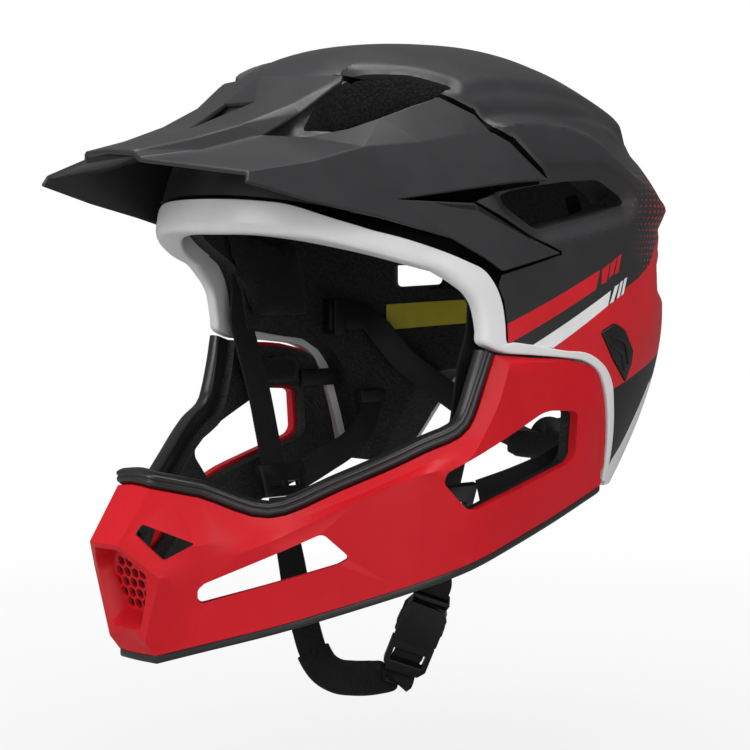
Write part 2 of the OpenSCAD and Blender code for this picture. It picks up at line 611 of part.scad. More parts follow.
// Openings of the chin bar
window_1 = [for (p = [[-67.5, -44], [-66, -39], [-11, -13.5], [-5, -12.5], [10, -13.5], [13, -15],
    [13, -35], [10, -38.5], [-39, -53], [-51, -57.5], [-56, -56.5]]) at_yz(p)];
window_2_at = at([60, -122.5, 0]);
window_2_turn = 52.3;
window_2 = [[-46, -97], [-46, -92], [-43, -89], [10, -66.8], [12.5, -67], [23, -76.5], [23.5, -78.5],
    [19, -81], [-44, -98.5]];
hole_1 = [[15, -182.6, -65.7], [16.5, -179.7, -61.2], [34.4, -162.2, -70.2], [25.5, -174, -77.9]];
hole_1_way = [-0.7, 0.7, -0.1];
mouth_at = at([0, -182.5, -94]);
mouth_tilt = 15.8;
mouth = [[-9, 21.5], [9, 21.5], [24, 8], [11.5, -19], [-11.5, -19], [-24, 8]];
module mouth_prism(near, behind, gap) {
    translate(mouth_at) rotate([mouth_tilt, 0, 0]) translate([0, behind, 0]) rotate([90, 0, 0])
        linear_extrude(behind - near) offset(delta = gap) polygon(mouth);
}
module bar_openings(gap) {
    both() {
        translate([60, 0, 0]) rotate([90, 0, 90])
            hull() linear_extrude(80) offset(delta = gap) polygon(window_1);
        translate([window_2_at[0], window_2_at[1], 0]) rotate([0, 0, window_2_turn])
            translate([0, 30, 0]) rotate([90, 0, 0])
            hull() linear_extrude(60) offset(delta = gap) polygon(window_2);
        hull() for (p = hole_1) for (k = [-20, 30])
            translate(at(p) + hole_1_way * k) cube(2 * gap + eps, center = true);
    }
}
module chin_bar() {
    color("firebrick") difference() {
        union() {
            bar_layer(function(j) 0, function(j) bar_t);
            intersection() {
                hull() mouth_prism(-20, vent_depth + 2, 2.4);
                bar_layer(function(j) 1, function(j) 19);
            }
        }
        hull() mouth_prism(-20, 40, 0);
        bar_openings(0);
    }
}
module chin_liner() {
    color("black") difference() {
        bar_layer(function(j) bar_t + foam_gap, function(j) foam_at(j));
        hull() mouth_prism(-20, 60, 2.7);
        hull() mouth_prism(-20, 40, 0);
        bar_openings(1.6);
        both() {
            tongue_way(0.1);
            tongue_foot(0.1);
        }
    }
}
module mouth_grille() {
    cell = (comb_pitch - comb_rib) / cos(30);
    color("black") difference() {
        mouth_prism(vent_depth - comb_t, vent_depth, -0.2);
        translate(mouth_at) rotate([mouth_tilt, 0, 0]) translate([0, vent_depth + 5, 0]) rotate([90, 0, 0])
            for (r = [-2 : 2], c = [-2 : 2]) {
                x = (c + (r % 2 == 0 ? 0 : 0.5)) * comb_pitch;
                z = 2.5 + r * comb_pitch * cos(30);
                if (abs(x) + abs(z - 6) * 0.75 < 17 && abs(z - 2) < 14)
                    translate([x, z, 0]) rotate([0, 0, 30]) cylinder(h = 20, d = cell, $fn = 6);
            }
    }
}
module upper_edge_trim() {
    color("black") tube([for (j = [-8 : 8]) [for (s = [[0.4, 0.4], [bead_w, 0.4], [bead_w, bead_h * 0.65],
        [bead_w * 0.7, bead_h], [bead_w * 0.35, bead_h], [0.4, bead_h * 0.65]])
        bar_offset(0, j, s[0]) + upright(j) * s[1]]]);
}
module lower_edge_trim() {
    color("black") tube([for (j = [-13 : 13]) [for (s = [[0.2, -hem_h * 0.6], [1.4, -hem_h], [4.6, -hem_h],
        [5.8, -hem_h * 0.6], [5.8, -0.2], [0.2, -0.2]]) bar_offset(4, j, s[0]) + [0, 0, s[1]]]]);
}
module chin_tongues() {
    z = latch_z - tongue_h / 2;
    color("silver") both() {
        translate([latch_x, tongue_front, z])
            cube([tongue_t, tongue_root + tongue_len - tongue_front, tongue_h]);
        tongue_foot(0);
    }
}
cheek_y = [-28, 9];
cheek_z = [6, -10];
cheek_bed = 0.4;
module cheek_pads() {
    rows = 5;
    cols = 12;
    function back_x(y) = min(side_x(outer, y, 0), arm_x) - bar_t - arm_foam + cheek_bed;
    function spot(u, v, d) = let (
            p = at_yz([mix(cheek_y[0], cheek_y[1], v), mix(cheek_z[0], cheek_z[1], u)]))
        [back_x(p[0]) - d, p[0], p[1]];
    near = [for (r = [0 : rows]) [for (c = [0 : cols]) let (u = r / rows, v = c / cols)
        spot(u, v, cheek_t * (pad_edge + (1 - pad_edge) * bulge(u, v)))]];
    back = [for (r = [0 : rows]) [for (c = [0 : cols]) spot(r / rows, c / cols, 0)]];
    color("black") both() slab(near, back, true);
}

// The release button is a plate cut to the shell's curve
module button_plate() {
    n = len(leaf);
    b = grown(outer, button_proud);
    face = [for (p = leaf) [side_x(b, p[0], p[1]), p[0], p[1]]];
    top = [side_x(b, leaf_mid[0], leaf_mid[1]), leaf_mid[0], leaf_mid[1]];
    low = [for (p = leaf) [button_back, p[0], p[1]]];
    polyhedron(concat(face, low, [top, [button_back, leaf_mid[0], leaf_mid[1]]]), concat(
        [for (i = [0 : n - 1]) [2 * n, i, (i + 1) % n]],
        [for (i = [0 : n - 1]) [2 * n + 1, n + (i + 1) % n, n + i]],
        [for (i = [0 : n - 1]) each [[i, n + i, n + (i + 1) % n], [i, n + (i + 1) % n, (i + 1) % n]]]));
}
module button_spring() {
    translate([spring_seat, leaf_mid[0], leaf_mid[1]]) rotate([0, 90, 0]) difference() {
        cylinder(h = button_back - spring_seat - 0.1, d = spring_d, $fn = 32);
        translate([0, 0, -1]) cylinder(h = 30, d = spring_d - 2 * spring_wire, $fn = 32);
    }
}
module release_button_left() {
    color("white") button_plate();
}
module release_button_right() {
    color("white") mirror([1, 0, 0]) button_plate();
}
module button_spring_left() {
    color("silver") button_spring();
}
module button_spring_right() {
    color("silver") mirror([1, 0, 0]) button_spring();
}

// Fit system: a band from temple to temple round the nape, in two guides, with its dial behind
fit_route = [for (s = [[[84, 22, 26], [0, 0, 1]], [[84, 48, 26], [0, 0, 1]], [[81, 56, 18], [0, 0, 1]],
    [[73, 66, 2], [0, 0, 1]], [[63.5, 78, -10], [0, 0, 1]], [[51, 91, -23], [0, 0, 1]],
    [[34, 101, -35], [0, 0, 1]], [[15, 105, -42], [0, 0, 1]], [[0, 106, -44], [0, 0, 1]]]) [at(s[0]), s[1]]];
fit_all = concat(fit_route,
    [for (i = [len(fit_route) - 2 : -1 : 0]) [mirrored(fit_route[i][0]), [0, 0, 1]]]);
dial_at = at([0, 106, -44]);
guide_at = at([84, 24, 26]);
guide_len = 8;
module fit_cradle() {
    color("dimgray") {
        tube(band(fit_all, band_w, band_t));
        translate(dial_at + [0, band_t / 2 + 0.1, 0]) rotate([-90, 0, 0]) difference() {
            cylinder(h = 2, d = dial_d + 2, $fn = 48);
            translate([0, 0, -1]) cylinder(h = 4, d = axle_d + 0.4, $fn = 32);
        }
    }
}
module dial_axle() {
    color("silver") translate(dial_at + [0, band_t / 2 + 0.2, 0]) rotate([-90, 0, 0]) {
        cylinder(h = dial_t + 2.4, d = axle_d, $fn = 32);
        translate([0, 0, dial_t + 2.4]) cylinder(h = 1.6, d = axle_d + 4, $fn = 32);
    }
}
module fit_dial() {
    color("dimgray") translate(dial_at + [0, band_t / 2 + 2.4, 0]) rotate([-90, 0, 0]) difference() {
        union() {
            cylinder(h = dial_t, d = dial_d - 2, $fn = 48);
            for (k = [0 : 17]) rotate([0, 0, k * 20]) translate([dial_d / 2 - 1.5, 0, 0])
                cylinder(h = dial_t - 1.5, d = 2.8, $fn = 16);
        }
        translate([0, 0, -1]) cylinder(h = dial_t + 2, d = axle_d + 0.5, $fn = 32);
    }
}
module nape_pad() {
    rows = 5;
    cols = 10;
    function spot(u, v, d) = let (p = at([mix(-26, 26, v), 104, mix(-35, -52, u)]))
        [p[0], p[1] - 3 * pow(2 * v - 1, 2) - d, p[2]];
    near = [for (r = [0 : rows]) [for (c = [0 : cols]) let (u = r / rows, v = c / cols)
        spot(u, v, nape_t * (pad_edge + (1 - pad_edge) * bulge(u, v)))]];
    back = [for (r = [0 : rows]) [for (c = [0 : cols]) spot(r / rows, c / cols, 0)]];
    color("black") slab(near, back);
}
module band_guides() {
    wall_x = side_x(cavity, guide_at[1], guide_at[2]);
    color("dimgray") both() difference() {
        translate([guide_at[0] - band_t / 2 - 2, guide_at[1], guide_at[2] - band_w / 2 - 2.5])
            cube([wall_x - guide_at[0] + band_t / 2 + 1.1, guide_len, band_w + 5]);
        translate([guide_at[0] - band_t / 2 - 0.3, guide_at[1] - 1, guide_at[2] - band_w / 2 - 0.4])
            cube([band_t + 0.6, guide_len + 2, band_w + 0.8]);
    }
}

// Straps on the left side, mirrored for the right one; each entry is a point and the width direction
divider_at = [64, -28, -58];
divider_tilt = 19.4;
divider_size = [3.6, 29, 17];
divider_slot = [7, 2.6];
strap_clear = 0.15;
front_route = [[front_anchor - [0, 0, anchor_size[2] / 2 + strap_clear], [0, 1, 0]],
    [[front_anchor[0], front_anchor[1], 40], [0, 1, 0]], [[89, -35, 25], [0, 1, 0]],
    [[84, -35, 11], [0, 1, 0]], [[78.5, -33, -8], [0, 1, 0]], [[71, -32, -36], [0, 1, 0]],
    [[66.9, -32, -49.5], [0, 1, 0]]];
rear_route = [[rear_anchor - [0, 0, anchor_size[2] / 2 + strap_clear], [0, 1, 0]],
    [rear_anchor - [0, 0, 7], [0, 1, -0.2]],
    [rear_anchor - [0.8, 5, 15], [0, 0.8, -0.6]],
    [[76.5, 32, -42], [0, 0.4, -1]], [[72, 10, -50], [0, 0.3, -1]], [[66.3, -11, -56], [0, 0.2, -1]]];
buckle_at = [40.5, -30.5, -129.6];
buckle_turn = 28.5;
buckle_twist = 48;
buckle_way = [sin(buckle_turn), 0, cos(buckle_turn)];
buckle_across = [cos(buckle_twist) * cos(buckle_turn), sin(buckle_twist),
    -cos(buckle_twist) * sin(buckle_turn)];
left_route = [[[61, -32, -66.5], [0, 1, 0]], [[59, -32, -80], [0.2, 0.95, 0]],
    [[57, -31.5, -93], [0.4, 0.85, -0.2]],
    [buckle_at + buckle_way * (female_len + 6), buckle_across],
    [buckle_at + buckle_way * (female_len + strap_clear), buckle_across]];
chin_route = [[[-61, -32, -66.5], [0, 1, 0]], [[-57, -32, -82], [0.1, 1, 0.05]],
    [[-52, -32, -99], [0.25, 0.95, 0.1]], [[-48, -31, -118], [0.45, 0.85, 0.2]],
    [[-42.5, -30, -134], [0.64, 0.71, 0.3]], [[-37, -30, -145], [0.5, 0.6, 0.5]],
    [[-29, -30, -152.5], [0.35, 0.45, 0.75]], [[-18, -30, -155.5], [0.2, 0.25, 0.95]],
    [[-7, -30, -155], [0.05, 0.1, 1]], [[4, -30, -153.5], [-0.1, -0.1, 1]],
    [[14, -30, -151.5], [-0.3, -0.35, 0.85]], [[22, -30.3, -150], [-0.45, -0.5, 0.7]],
    [buckle_at - buckle_way * (male_len + 4), -buckle_across],
    [buckle_at - buckle_way * (male_len + strap_clear), -buckle_across]];
pad_from = 5;
pad_to = 11;
sleeve_taper = 0.25;
sleeve_room = 0.8;
module strap(route) {
    color("black") tube(band(route, web_w, web_t));
}
module front_strap_left() {
    strap(front_route);
}
module front_strap_right() {
    mirror([1, 0, 0]) strap(front_route);
}
module rear_strap_left() {
    strap(rear_route);
}
module rear_strap_right() {
    mirror([1, 0, 0]) strap(rear_route);
}
module divider() {
    translate(divider_at) rotate([0, divider_tilt, 0])
        translate([-divider_size[0] / 2, -divider_size[1] / 2, -divider_size[2] / 2]) difference() {
            cube(divider_size);
            for (y = [6, 17]) translate([-1, y, 5])
                cube([divider_size[0] + 2, divider_slot[0], divider_slot[1]]);
        }
}
module strap_divider_left() {
    color("black") divider();
}
module strap_divider_right() {
    color("black") mirror([1, 0, 0]) divider();
}
module buckle_webbing_left() {
    strap(left_route);
}
module chin_webbing() {
    strap(chin_route);
}
module chin_strap_pad() {
    m = pad_to - pad_from;
    shape = [for (i = [0 : m]) cushion(chin_route, i + pad_from, sleeve_w,
        sleeve_t * (1 - sleeve_taper * pow(2 * i / m - 1, 4)), 0.7, 0.4)];
    hole = [for (i = [0 : m])
        cushion(chin_route, i + pad_from, web_w + sleeve_room, web_t + sleeve_room, 0.85, 1)];
    color("black") sleeve(shape, hole);
}
module in_buckle() {
    translate(buckle_at) rotate([0, buckle_turn, 0]) rotate([0, 0, buckle_twist]) children();
}
keeper_room = 1.8;
keeper_wall = 1.1;
keeper_h = 6;
keeper_lean = 9;
keeper_turn = 72;
module strap_keeper() {
    w = web_w + keeper_room;
    t = web_t + keeper_room;
    color("black") translate(mix(left_route[1][0], left_route[2][0], 0.5))
        rotate([0, keeper_lean, 0]) rotate([0, 0, keeper_turn]) difference() {
            cube([w + 2 * keeper_wall, t + 2 * keeper_wall, keeper_h], center = true);
            cube([w, t, keeper_h + 2], center = true);
        }
}
cavity_w = buckle_w - 5;
cavity_t = buckle_t - 4;
female_deep = 21;
module female_outline() {
    w = buckle_w / 2;
    polygon([[-w + 2, 0], [w - 2, 0], [w, 2], [w, 18], [w - 2.5, 23], [w - 1.5, female_len - 1],
        [w - 2.5, female_len], [-w + 2.5, female_len], [-w + 1.5, female_len - 1], [-w + 2.5, 23],
        [-w, 18], [-w, 2]]);
}
module buckle_female() {
    color("black") in_buckle() difference() {
        translate([0, buckle_t / 2, 0]) rotate([90, 0, 0]) linear_extrude(buckle_t) female_outline();
        translate([-cavity_w / 2, -cavity_t / 2, -1]) cube([cavity_w, cavity_t, female_deep + 1]);
        for (s = [-1, 1]) translate([s > 0 ? 5 : -buckle_w, -cavity_t / 2, -1])
            cube([buckle_w - 5, cavity_t, 20.6]);
        translate([-web_w / 2 - 0.6, -buckle_t, female_len - 4.4]) cube([web_w + 1.2, 2 * buckle_t, 2.2]);
        translate([-web_w / 2 - 0.6, -web_t, female_len - 4.4]) cube([web_w + 1.2, 2 * web_t, 10]);
    }
}
module buckle_male() {
    w = buckle_w / 2;
    color("black") in_buckle() {
        translate([0, 2.6, 0]) rotate([90, 0, 0]) linear_extrude(5.2) difference() {
            polygon([[-w, -0.4], [-w, -male_len + 4], [-w + 3, -male_len], [w - 3, -male_len],
                [w, -male_len + 4], [w, -0.4]]);
            translate([-web_w / 2 - 0.8, -male_len + 5.4]) square([web_w + 1.6, 7.6]);
        }
        translate([-2.6, -2, -0.4]) cube([5.2, 4, 18]);
    }
}
prong_x = 7.4;
prong_turn = 5;
module prong(s) {
    color("black") in_buckle() scale([s, 1, 1]) translate([0, 2, 0]) rotate([90, 0, 0]) linear_extrude(4)
        polygon([[prong_x - 1.6, 0.2], [prong_x - 1.6, 17], [prong_x + 0.4, 18.6], [buckle_w / 2 + 0.6, 14],
            [buckle_w / 2 + 0.9, 8], [prong_x + 1.6, 5], [prong_x + 1.2, 0.2]]);
}
module buckle_prong_front() {
    prong(-1);
}
module buckle_prong_rear() {
    prong(1);
}

shell();
liner();
face_trim();
label();
brow_pad();
temple_pads();
crown_pads();
rear_pads();
latch_housings();
visor_sockets();
strap_anchors();
band_guides();
visor();
visor_pegs();
chin_bar();
chin_liner();
mouth_grille();
upper_edge_trim();
lower_edge_trim();
chin_tongues();
cheek_pads();
release_button_left();
release_button_right();
button_spring_left();
button_spring_right();
fit_cradle();
dial_axle();
nape_pad();
fit_dial();
front_strap_left();
front_strap_right();
rear_strap_left();
rear_strap_right();
strap_divider_left();
strap_divider_right();
buckle_webbing_left();
strap_keeper();
buckle_female();
chin_webbing();
chin_strap_pad();
buckle_male();
buckle_prong_front();
buckle_prong_rear();
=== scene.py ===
import json
import math

import bpy
import numpy as np
from mathutils import Matrix, Vector

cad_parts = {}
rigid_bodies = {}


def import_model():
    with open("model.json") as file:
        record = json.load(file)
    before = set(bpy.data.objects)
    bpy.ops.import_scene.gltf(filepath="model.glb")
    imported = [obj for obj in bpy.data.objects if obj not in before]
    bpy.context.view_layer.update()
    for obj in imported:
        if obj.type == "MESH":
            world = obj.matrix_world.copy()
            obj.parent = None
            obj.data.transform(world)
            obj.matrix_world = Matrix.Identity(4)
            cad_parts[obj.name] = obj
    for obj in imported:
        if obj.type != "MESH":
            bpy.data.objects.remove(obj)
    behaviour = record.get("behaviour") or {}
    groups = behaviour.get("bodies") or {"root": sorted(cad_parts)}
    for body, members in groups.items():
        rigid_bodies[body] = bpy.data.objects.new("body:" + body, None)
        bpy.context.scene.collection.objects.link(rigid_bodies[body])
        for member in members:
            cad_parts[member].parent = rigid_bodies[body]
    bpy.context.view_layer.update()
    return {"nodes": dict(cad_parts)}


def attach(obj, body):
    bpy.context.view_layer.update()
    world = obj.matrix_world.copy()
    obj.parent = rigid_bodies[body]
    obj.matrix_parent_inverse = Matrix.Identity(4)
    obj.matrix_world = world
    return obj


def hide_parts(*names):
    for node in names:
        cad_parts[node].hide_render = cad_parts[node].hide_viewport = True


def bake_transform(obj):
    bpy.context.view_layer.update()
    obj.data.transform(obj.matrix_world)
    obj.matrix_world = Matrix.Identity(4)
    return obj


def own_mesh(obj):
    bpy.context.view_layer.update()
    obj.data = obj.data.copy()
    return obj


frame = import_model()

cad = frame["nodes"]

# Camera, studio and floor.
# The camera stands far off, almost level and to the front of the helmet's left side.
# Three large soft lamps and a plain pale floor and background.
view_azimuth = math.radians(48)
view_elevation = math.radians(3.6)
view_centre = Vector((0, -0.020, 0))
view_back = Vector((math.sin(view_azimuth) * math.cos(view_elevation),
                    -math.cos(view_azimuth) * math.cos(view_elevation), math.sin(view_elevation)))
view_distance = 1.230
bpy.ops.object.camera_add(location=view_centre + view_back * view_distance,
                          rotation=view_back.to_track_quat("Z", "Y").to_euler())
camera = bpy.context.object
camera.data.sensor_width = 36
camera.data.lens = 116.35
camera.data.clip_end = 30
bpy.context.scene.camera = camera
bpy.context.scene.view_settings.view_transform = "Standard"


def node(tree, kind, inputs=None, **settings):
    made = tree.nodes.new("ShaderNode" + kind)
    for name, value in settings.items():
        setattr(made, name, value)
    for name, value in (inputs or {}).items():
        socket = made.inputs[name]
        if isinstance(value, bpy.types.NodeSocket):
            tree.links.new(value, socket)
        else:
            socket.default_value = value
    return made


def maths(tree, operation, *values, **settings):
    return node(tree, "Math", dict(enumerate(values)), operation=operation, **settings).outputs[0]


def ranged(tree, value, *limits):
    """The value moved from one range to another, given as from low, from high, to low and to high."""
    return node(tree, "MapRange", dict(enumerate((value, *limits)))).outputs[0]


def seen_directly(tree):
    """1 where the camera looks at a surface, 0 where the surface only lights or is reflected."""
    path = node(tree, "LightPath")
    return maths(tree, "ADD", path.outputs["Is Camera Ray"], path.outputs["Is Transmission Ray"], use_clamp=True)


def soft_lamp(name, place, size, power):
    towards = Vector(place)
    bpy.ops.object.light_add(type="AREA", location=place, rotation=towards.to_track_quat("Z", "Y").to_euler())
    lamp = bpy.context.object
    lamp.name = name
    lamp.data.shape = "SQUARE"
    lamp.data.size = size
    lamp.data.energy = power


soft_lamp("lamp_top", (0.15, -0.25, 2.1), 1.5, 50)
soft_lamp("lamp_right", (1.9, -0.8, 0.5), 1.3, 18)
soft_lamp("lamp_front", (-0.6, -2.1, 0.9), 1.2, 21)

world = bpy.data.worlds.new("studio")
bpy.context.scene.world = world
world.use_nodes = True
world.node_tree.nodes.clear()
tree = world.node_tree
room = node(tree, "Background", {"Color": (1, 1, 1, 1), "Strength": 0.2})
paper = node(tree, "Background", {"Color": (1, 1, 1, 1), "Strength": 1.0})
both = node(tree, "MixShader", {0: seen_directly(tree), 1: room.outputs[0], 2: paper.outputs[0]})
node(tree, "OutputWorld", {"Surface": both.outputs[0]})

floor_width, floor_height = 8, -0.20
bpy.ops.mesh.primitive_plane_add(size=floor_width, location=(0, 0, floor_height))
floor = bpy.context.object
floor.name = "floor"
floor_paint = bpy.data.materials.new("floor_paper")
floor_paint.use_nodes = True
tree = floor_paint.node_tree
tree.nodes.clear()
at = node(tree, "TexCoord")
far = node(tree, "VectorMath", {0: at.outputs["Object"]}, operation="LENGTH")
fade = ranged(tree, far.outputs["Value"], 0.15, 0.9, 0.86, 1.0)
share = maths(tree, "MULTIPLY", seen_directly(tree), fade)
matt = node(tree, "BsdfDiffuse", {"Color": (0.4, 0.4, 0.4, 1)})
glow = node(tree, "Emission", {"Color": (1, 1, 1, 1), "Strength": 1.0})
both = node(tree, "MixShader", {0: share, 1: matt.outputs[0], 2: glow.outputs[0]})
node(tree, "OutputMaterial", {"Surface": both.outputs[0]})
floor.data.materials.append(floor_paint)


# Outer shell.
# A thin moulded plastic skin, matt black above and red below, with creases that run back from the visor's seam.
# Vents with sloped lips, a recess for each release leaf and the printed stripes are worked into it.
mm = 0.001
shell_size = np.array((112.0, 158.0, 107.0, 132.0))
shell_wall = 2.2
foam_size = shell_size - shell_wall
cavity_size = foam_size - np.array((17.8, 15.8, 22.8, 25.8))
widest_y, widest_z, skirt_z = 25, 35, -62
plan_power, crown_power = 2.3, 2.45


def girth(z, height):
    t = np.clip((z - widest_z) / height, 0, 1)
    return np.maximum(1e-5, np.where(z > widest_z, (1 - t ** crown_power) ** (1 / crown_power),
                                     1 - 0.1 * (np.minimum(z - widest_z, 0) / 90) ** 2))


def back_girth(z, height):
    return np.where(z > 30, girth(z, height), 1 - 1.887e-4 * np.maximum(30 - z, 0) ** 1.75)


def middle_y(z, height):
    return widest_y * (1 - np.clip((z - widest_z) / height, 0, 1) ** 3)


def depth_reach(size, z, behind):
    """How far the form reaches from its middle to the back or the front."""
    return np.where(behind, size[2] * back_girth(z, size[3]), size[1] * girth(z, size[3]))


def ring_point(size, angle, z):
    s, c = np.sin(angle), np.cos(angle)
    r = ((np.abs(s) / (size[0] * girth(z, size[3]))) ** plan_power
         + (np.abs(c) / depth_reach(size, z, c < 0)) ** plan_power + 1e-12) ** (-1 / plan_power)
    return np.stack((r * s, middle_y(z, size[3]) - r * c, z), -1)


def side_x(size, y, z):
    dy = y - middle_y(z, size[3])
    reach = depth_reach(size, z, dy > 0)
    return size[0] * girth(z, size[3]) * np.maximum(0, 1 - (np.abs(dy) / reach) ** plan_power) ** (1 / plan_power)


def read_points(obj):
    points = np.empty(len(obj.data.vertices) * 3)
    obj.data.vertices.foreach_get("co", points)
    return points.reshape(-1, 3)


def write_points(obj, points):
    obj.data.vertices.foreach_set("co", np.asarray(points, float).ravel())
    obj.data.update()


def normals_of(obj):
    found = np.empty(len(obj.data.vertices) * 3)
    obj.data.vertex_normals.foreach_get("vector", found)
    return found.reshape(-1, 3)


def unit(rows):
    return rows / np.linalg.norm(rows, axis=1)[:, None]


def smooth(t):
    t = np.clip(t, 0, 1)
    return t * t * (3 - 2 * t)


def line_distance(points, line):
    """Distance in the plane to a run of straight pieces, and how far along it the nearest point lies."""
    line = np.asarray(line, float)
    best = np.full(len(points), 1e9)
    along = np.zeros(len(points))
    side = np.zeros(len(points))
    start = 0.0
    for a, b in zip(line[:-1], line[1:]):
        d = b - a
        length = np.hypot(*d)
        t = np.clip(((points - a) @ d) / length ** 2, 0, 1)
        off = points - (a + t[:, None] * d)
        gap = np.hypot(off[:, 0], off[:, 1])
        near = gap < best - 1e-9
        best = np.where(near, gap, best)
        along = np.where(near, start + t * length, along)
        side = np.where(near, np.sign(d[0] * off[:, 1] - d[1] * off[:, 0]), side)
        start += length
    return best, along / start, side


def outline_distance(points, outline):
    """Signed distance to a closed outline, negative inside."""
    outline = np.asarray(outline, float)
    gap = line_distance(points, np.vstack((outline, outline[:1])))[0]
    inside = np.zeros(len(points), bool)
    for a, b in zip(outline, np.roll(outline, -1, 0)):
        hit = (a[1] > points[:, 1]) != (b[1] > points[:, 1])
        x = a[0] + (points[:, 1] - a[1]) * (b[0] - a[0]) / (b[1] - a[1] + 1e-12)
        inside ^= hit & (points[:, 0] < x)
    return np.where(inside, -gap, gap)


def rounded(outline, radius, steps=5):
    """The outline with every corner turned into a short curve; radius may be one value for each corner."""
    outline = np.asarray(outline, float)
    radii = np.broadcast_to(radius, len(outline))
    made = []
    for before, corner, after, size in zip(np.roll(outline, 1, 0), outline, np.roll(outline, -1, 0), radii):
        back, on = before - corner, after - corner
        cut = min(size, np.linalg.norm(back) * 0.45, np.linalg.norm(on) * 0.45)
        p = corner + back / np.linalg.norm(back) * cut
        q = corner + on / np.linalg.norm(on) * cut
        for t in np.linspace(0, 1, steps + 1):
            made.append((1 - t) ** 2 * p + 2 * t * (1 - t) * corner + t ** 2 * q)
    return np.array(made)


side_vent = rounded([(-29, 90), (-22, 92.5), (-5, 95), (12, 97), (37, 98), (45, 94), (52, 90), (54.5, 86),
                     (32, 81), (7, 77), (-8, 74), (-12, 75), (-21, 81), (-27, 86)], 3)
far_vents = {
    "top_vent": [(40, -88, 140), (45, -75, 147), (61, -52, 146), (74, -36, 140), (72, -60, 132), (60, -92, 120),
                 (42, -106, 122)],
    "rear_side_vent": [(97, 85, 41), (97, 85, 56), (76, 110, 56), (76, 110, 43)],
    "crown_vent": [(16, 30, 165), (34, 26, 162), (38, 74, 145), (18, 80, 145)],
    "back_vent": [(20, 122, 84), (46, 116, 86), (50, 108, 106), (24, 116, 104)],
}
far_vents = {name: np.array(corners, float) for name, corners in far_vents.items()}
vent_heart = np.array((0, -20, 40.0))


def vent_plane(corners):
    """Centre and the two directions of the plane that a vent lies in, and its rounded outline there."""
    centre = corners.mean(0)
    across = corners[1] - corners[0]
    outward = np.cross(across, corners[2] - corners[0])
    for a, b in zip(corners, np.roll(corners, -1, 0)):
        outward = outward + np.cross(a - centre, b - centre)
    outward /= np.linalg.norm(outward)
    across = across - outward * (across @ outward)
    across /= np.linalg.norm(across)
    upward = np.cross(outward, across)
    outline = np.stack(((corners - centre) @ across, (corners - centre) @ upward), -1)
    return centre, across, upward, rounded(outline, 3)


def vent_distance(points, corners):
    centre, u, v, outline = vent_plane(corners)
    w = np.cross(u, v)
    beam = points - vent_heart
    facing = beam @ w
    reach = ((centre - vent_heart) @ w) / np.where(np.abs(facing) < 1e-6, 1e-6, facing)
    flat = vent_heart + beam * reach[:, None] - centre
    gap = outline_distance(np.stack((flat @ u, flat @ v), -1), outline)
    return np.where(reach > 0, gap, 99)


creases = {
    "upper": [(-70, 70, 133), (-43.7, 74.6, 137.1), (-18, 73.5, 143.8), (-1.4, 73.1, 145.4), (20, 73.8, 144.8),
              (45, 73, 140.8), (60, 70.5, 135), (76, 67, 124), (90, 62, 110)],
    "step": [(-60, 82, 124), (-31.6, 84.6, 128.7), (-10.2, 86, 131.2), (10.3, 86.2, 132.3), (33.5, 85.6, 131.6),
             (59.7, 80.2, 128.5), (75, 76, 119), (90, 70, 106)],
    "bright": [(-60, 89, 112), (-29.9, 91, 119.1), (-14.4, 91.6, 122.3), (4, 92.4, 123.2), (21, 93.5, 121.7),
               (37.6, 95.3, 116.7), (48.4, 97.4, 109), (62.2, 98.2, 98.3), (74.5, 95.3, 92.5), (82, 92, 85)],
}
visor_seam = [(-100, 149), (-79, 145), (-62, 140), (-47.9, 136.5), (-34.6, 128.3), (-29.9, 120), (-21, 115),
              (-12.7, 105.6), (-4.2, 97.5), (-1.9, 62.7)]
visor_notch = [(-92, 88.5), (-49, 85.8), (-33, 91.3), (-24, 97.5)]


def crease_side(points, name):
    """Distance from a crease, measured on the section across it: positive towards the crown."""
    line = np.array(creases[name])
    x = np.interp(points[:, 1], line[:, 0], line[:, 1])
    z = np.interp(points[:, 1], line[:, 0], line[:, 2])
    return -(np.abs(points[:, 0]) - x) * 0.72 + (points[:, 2] - z) * 0.70


def tent(s, above, below):
    return np.maximum(0, 1 - np.where(s > 0, s / above, -s / below))


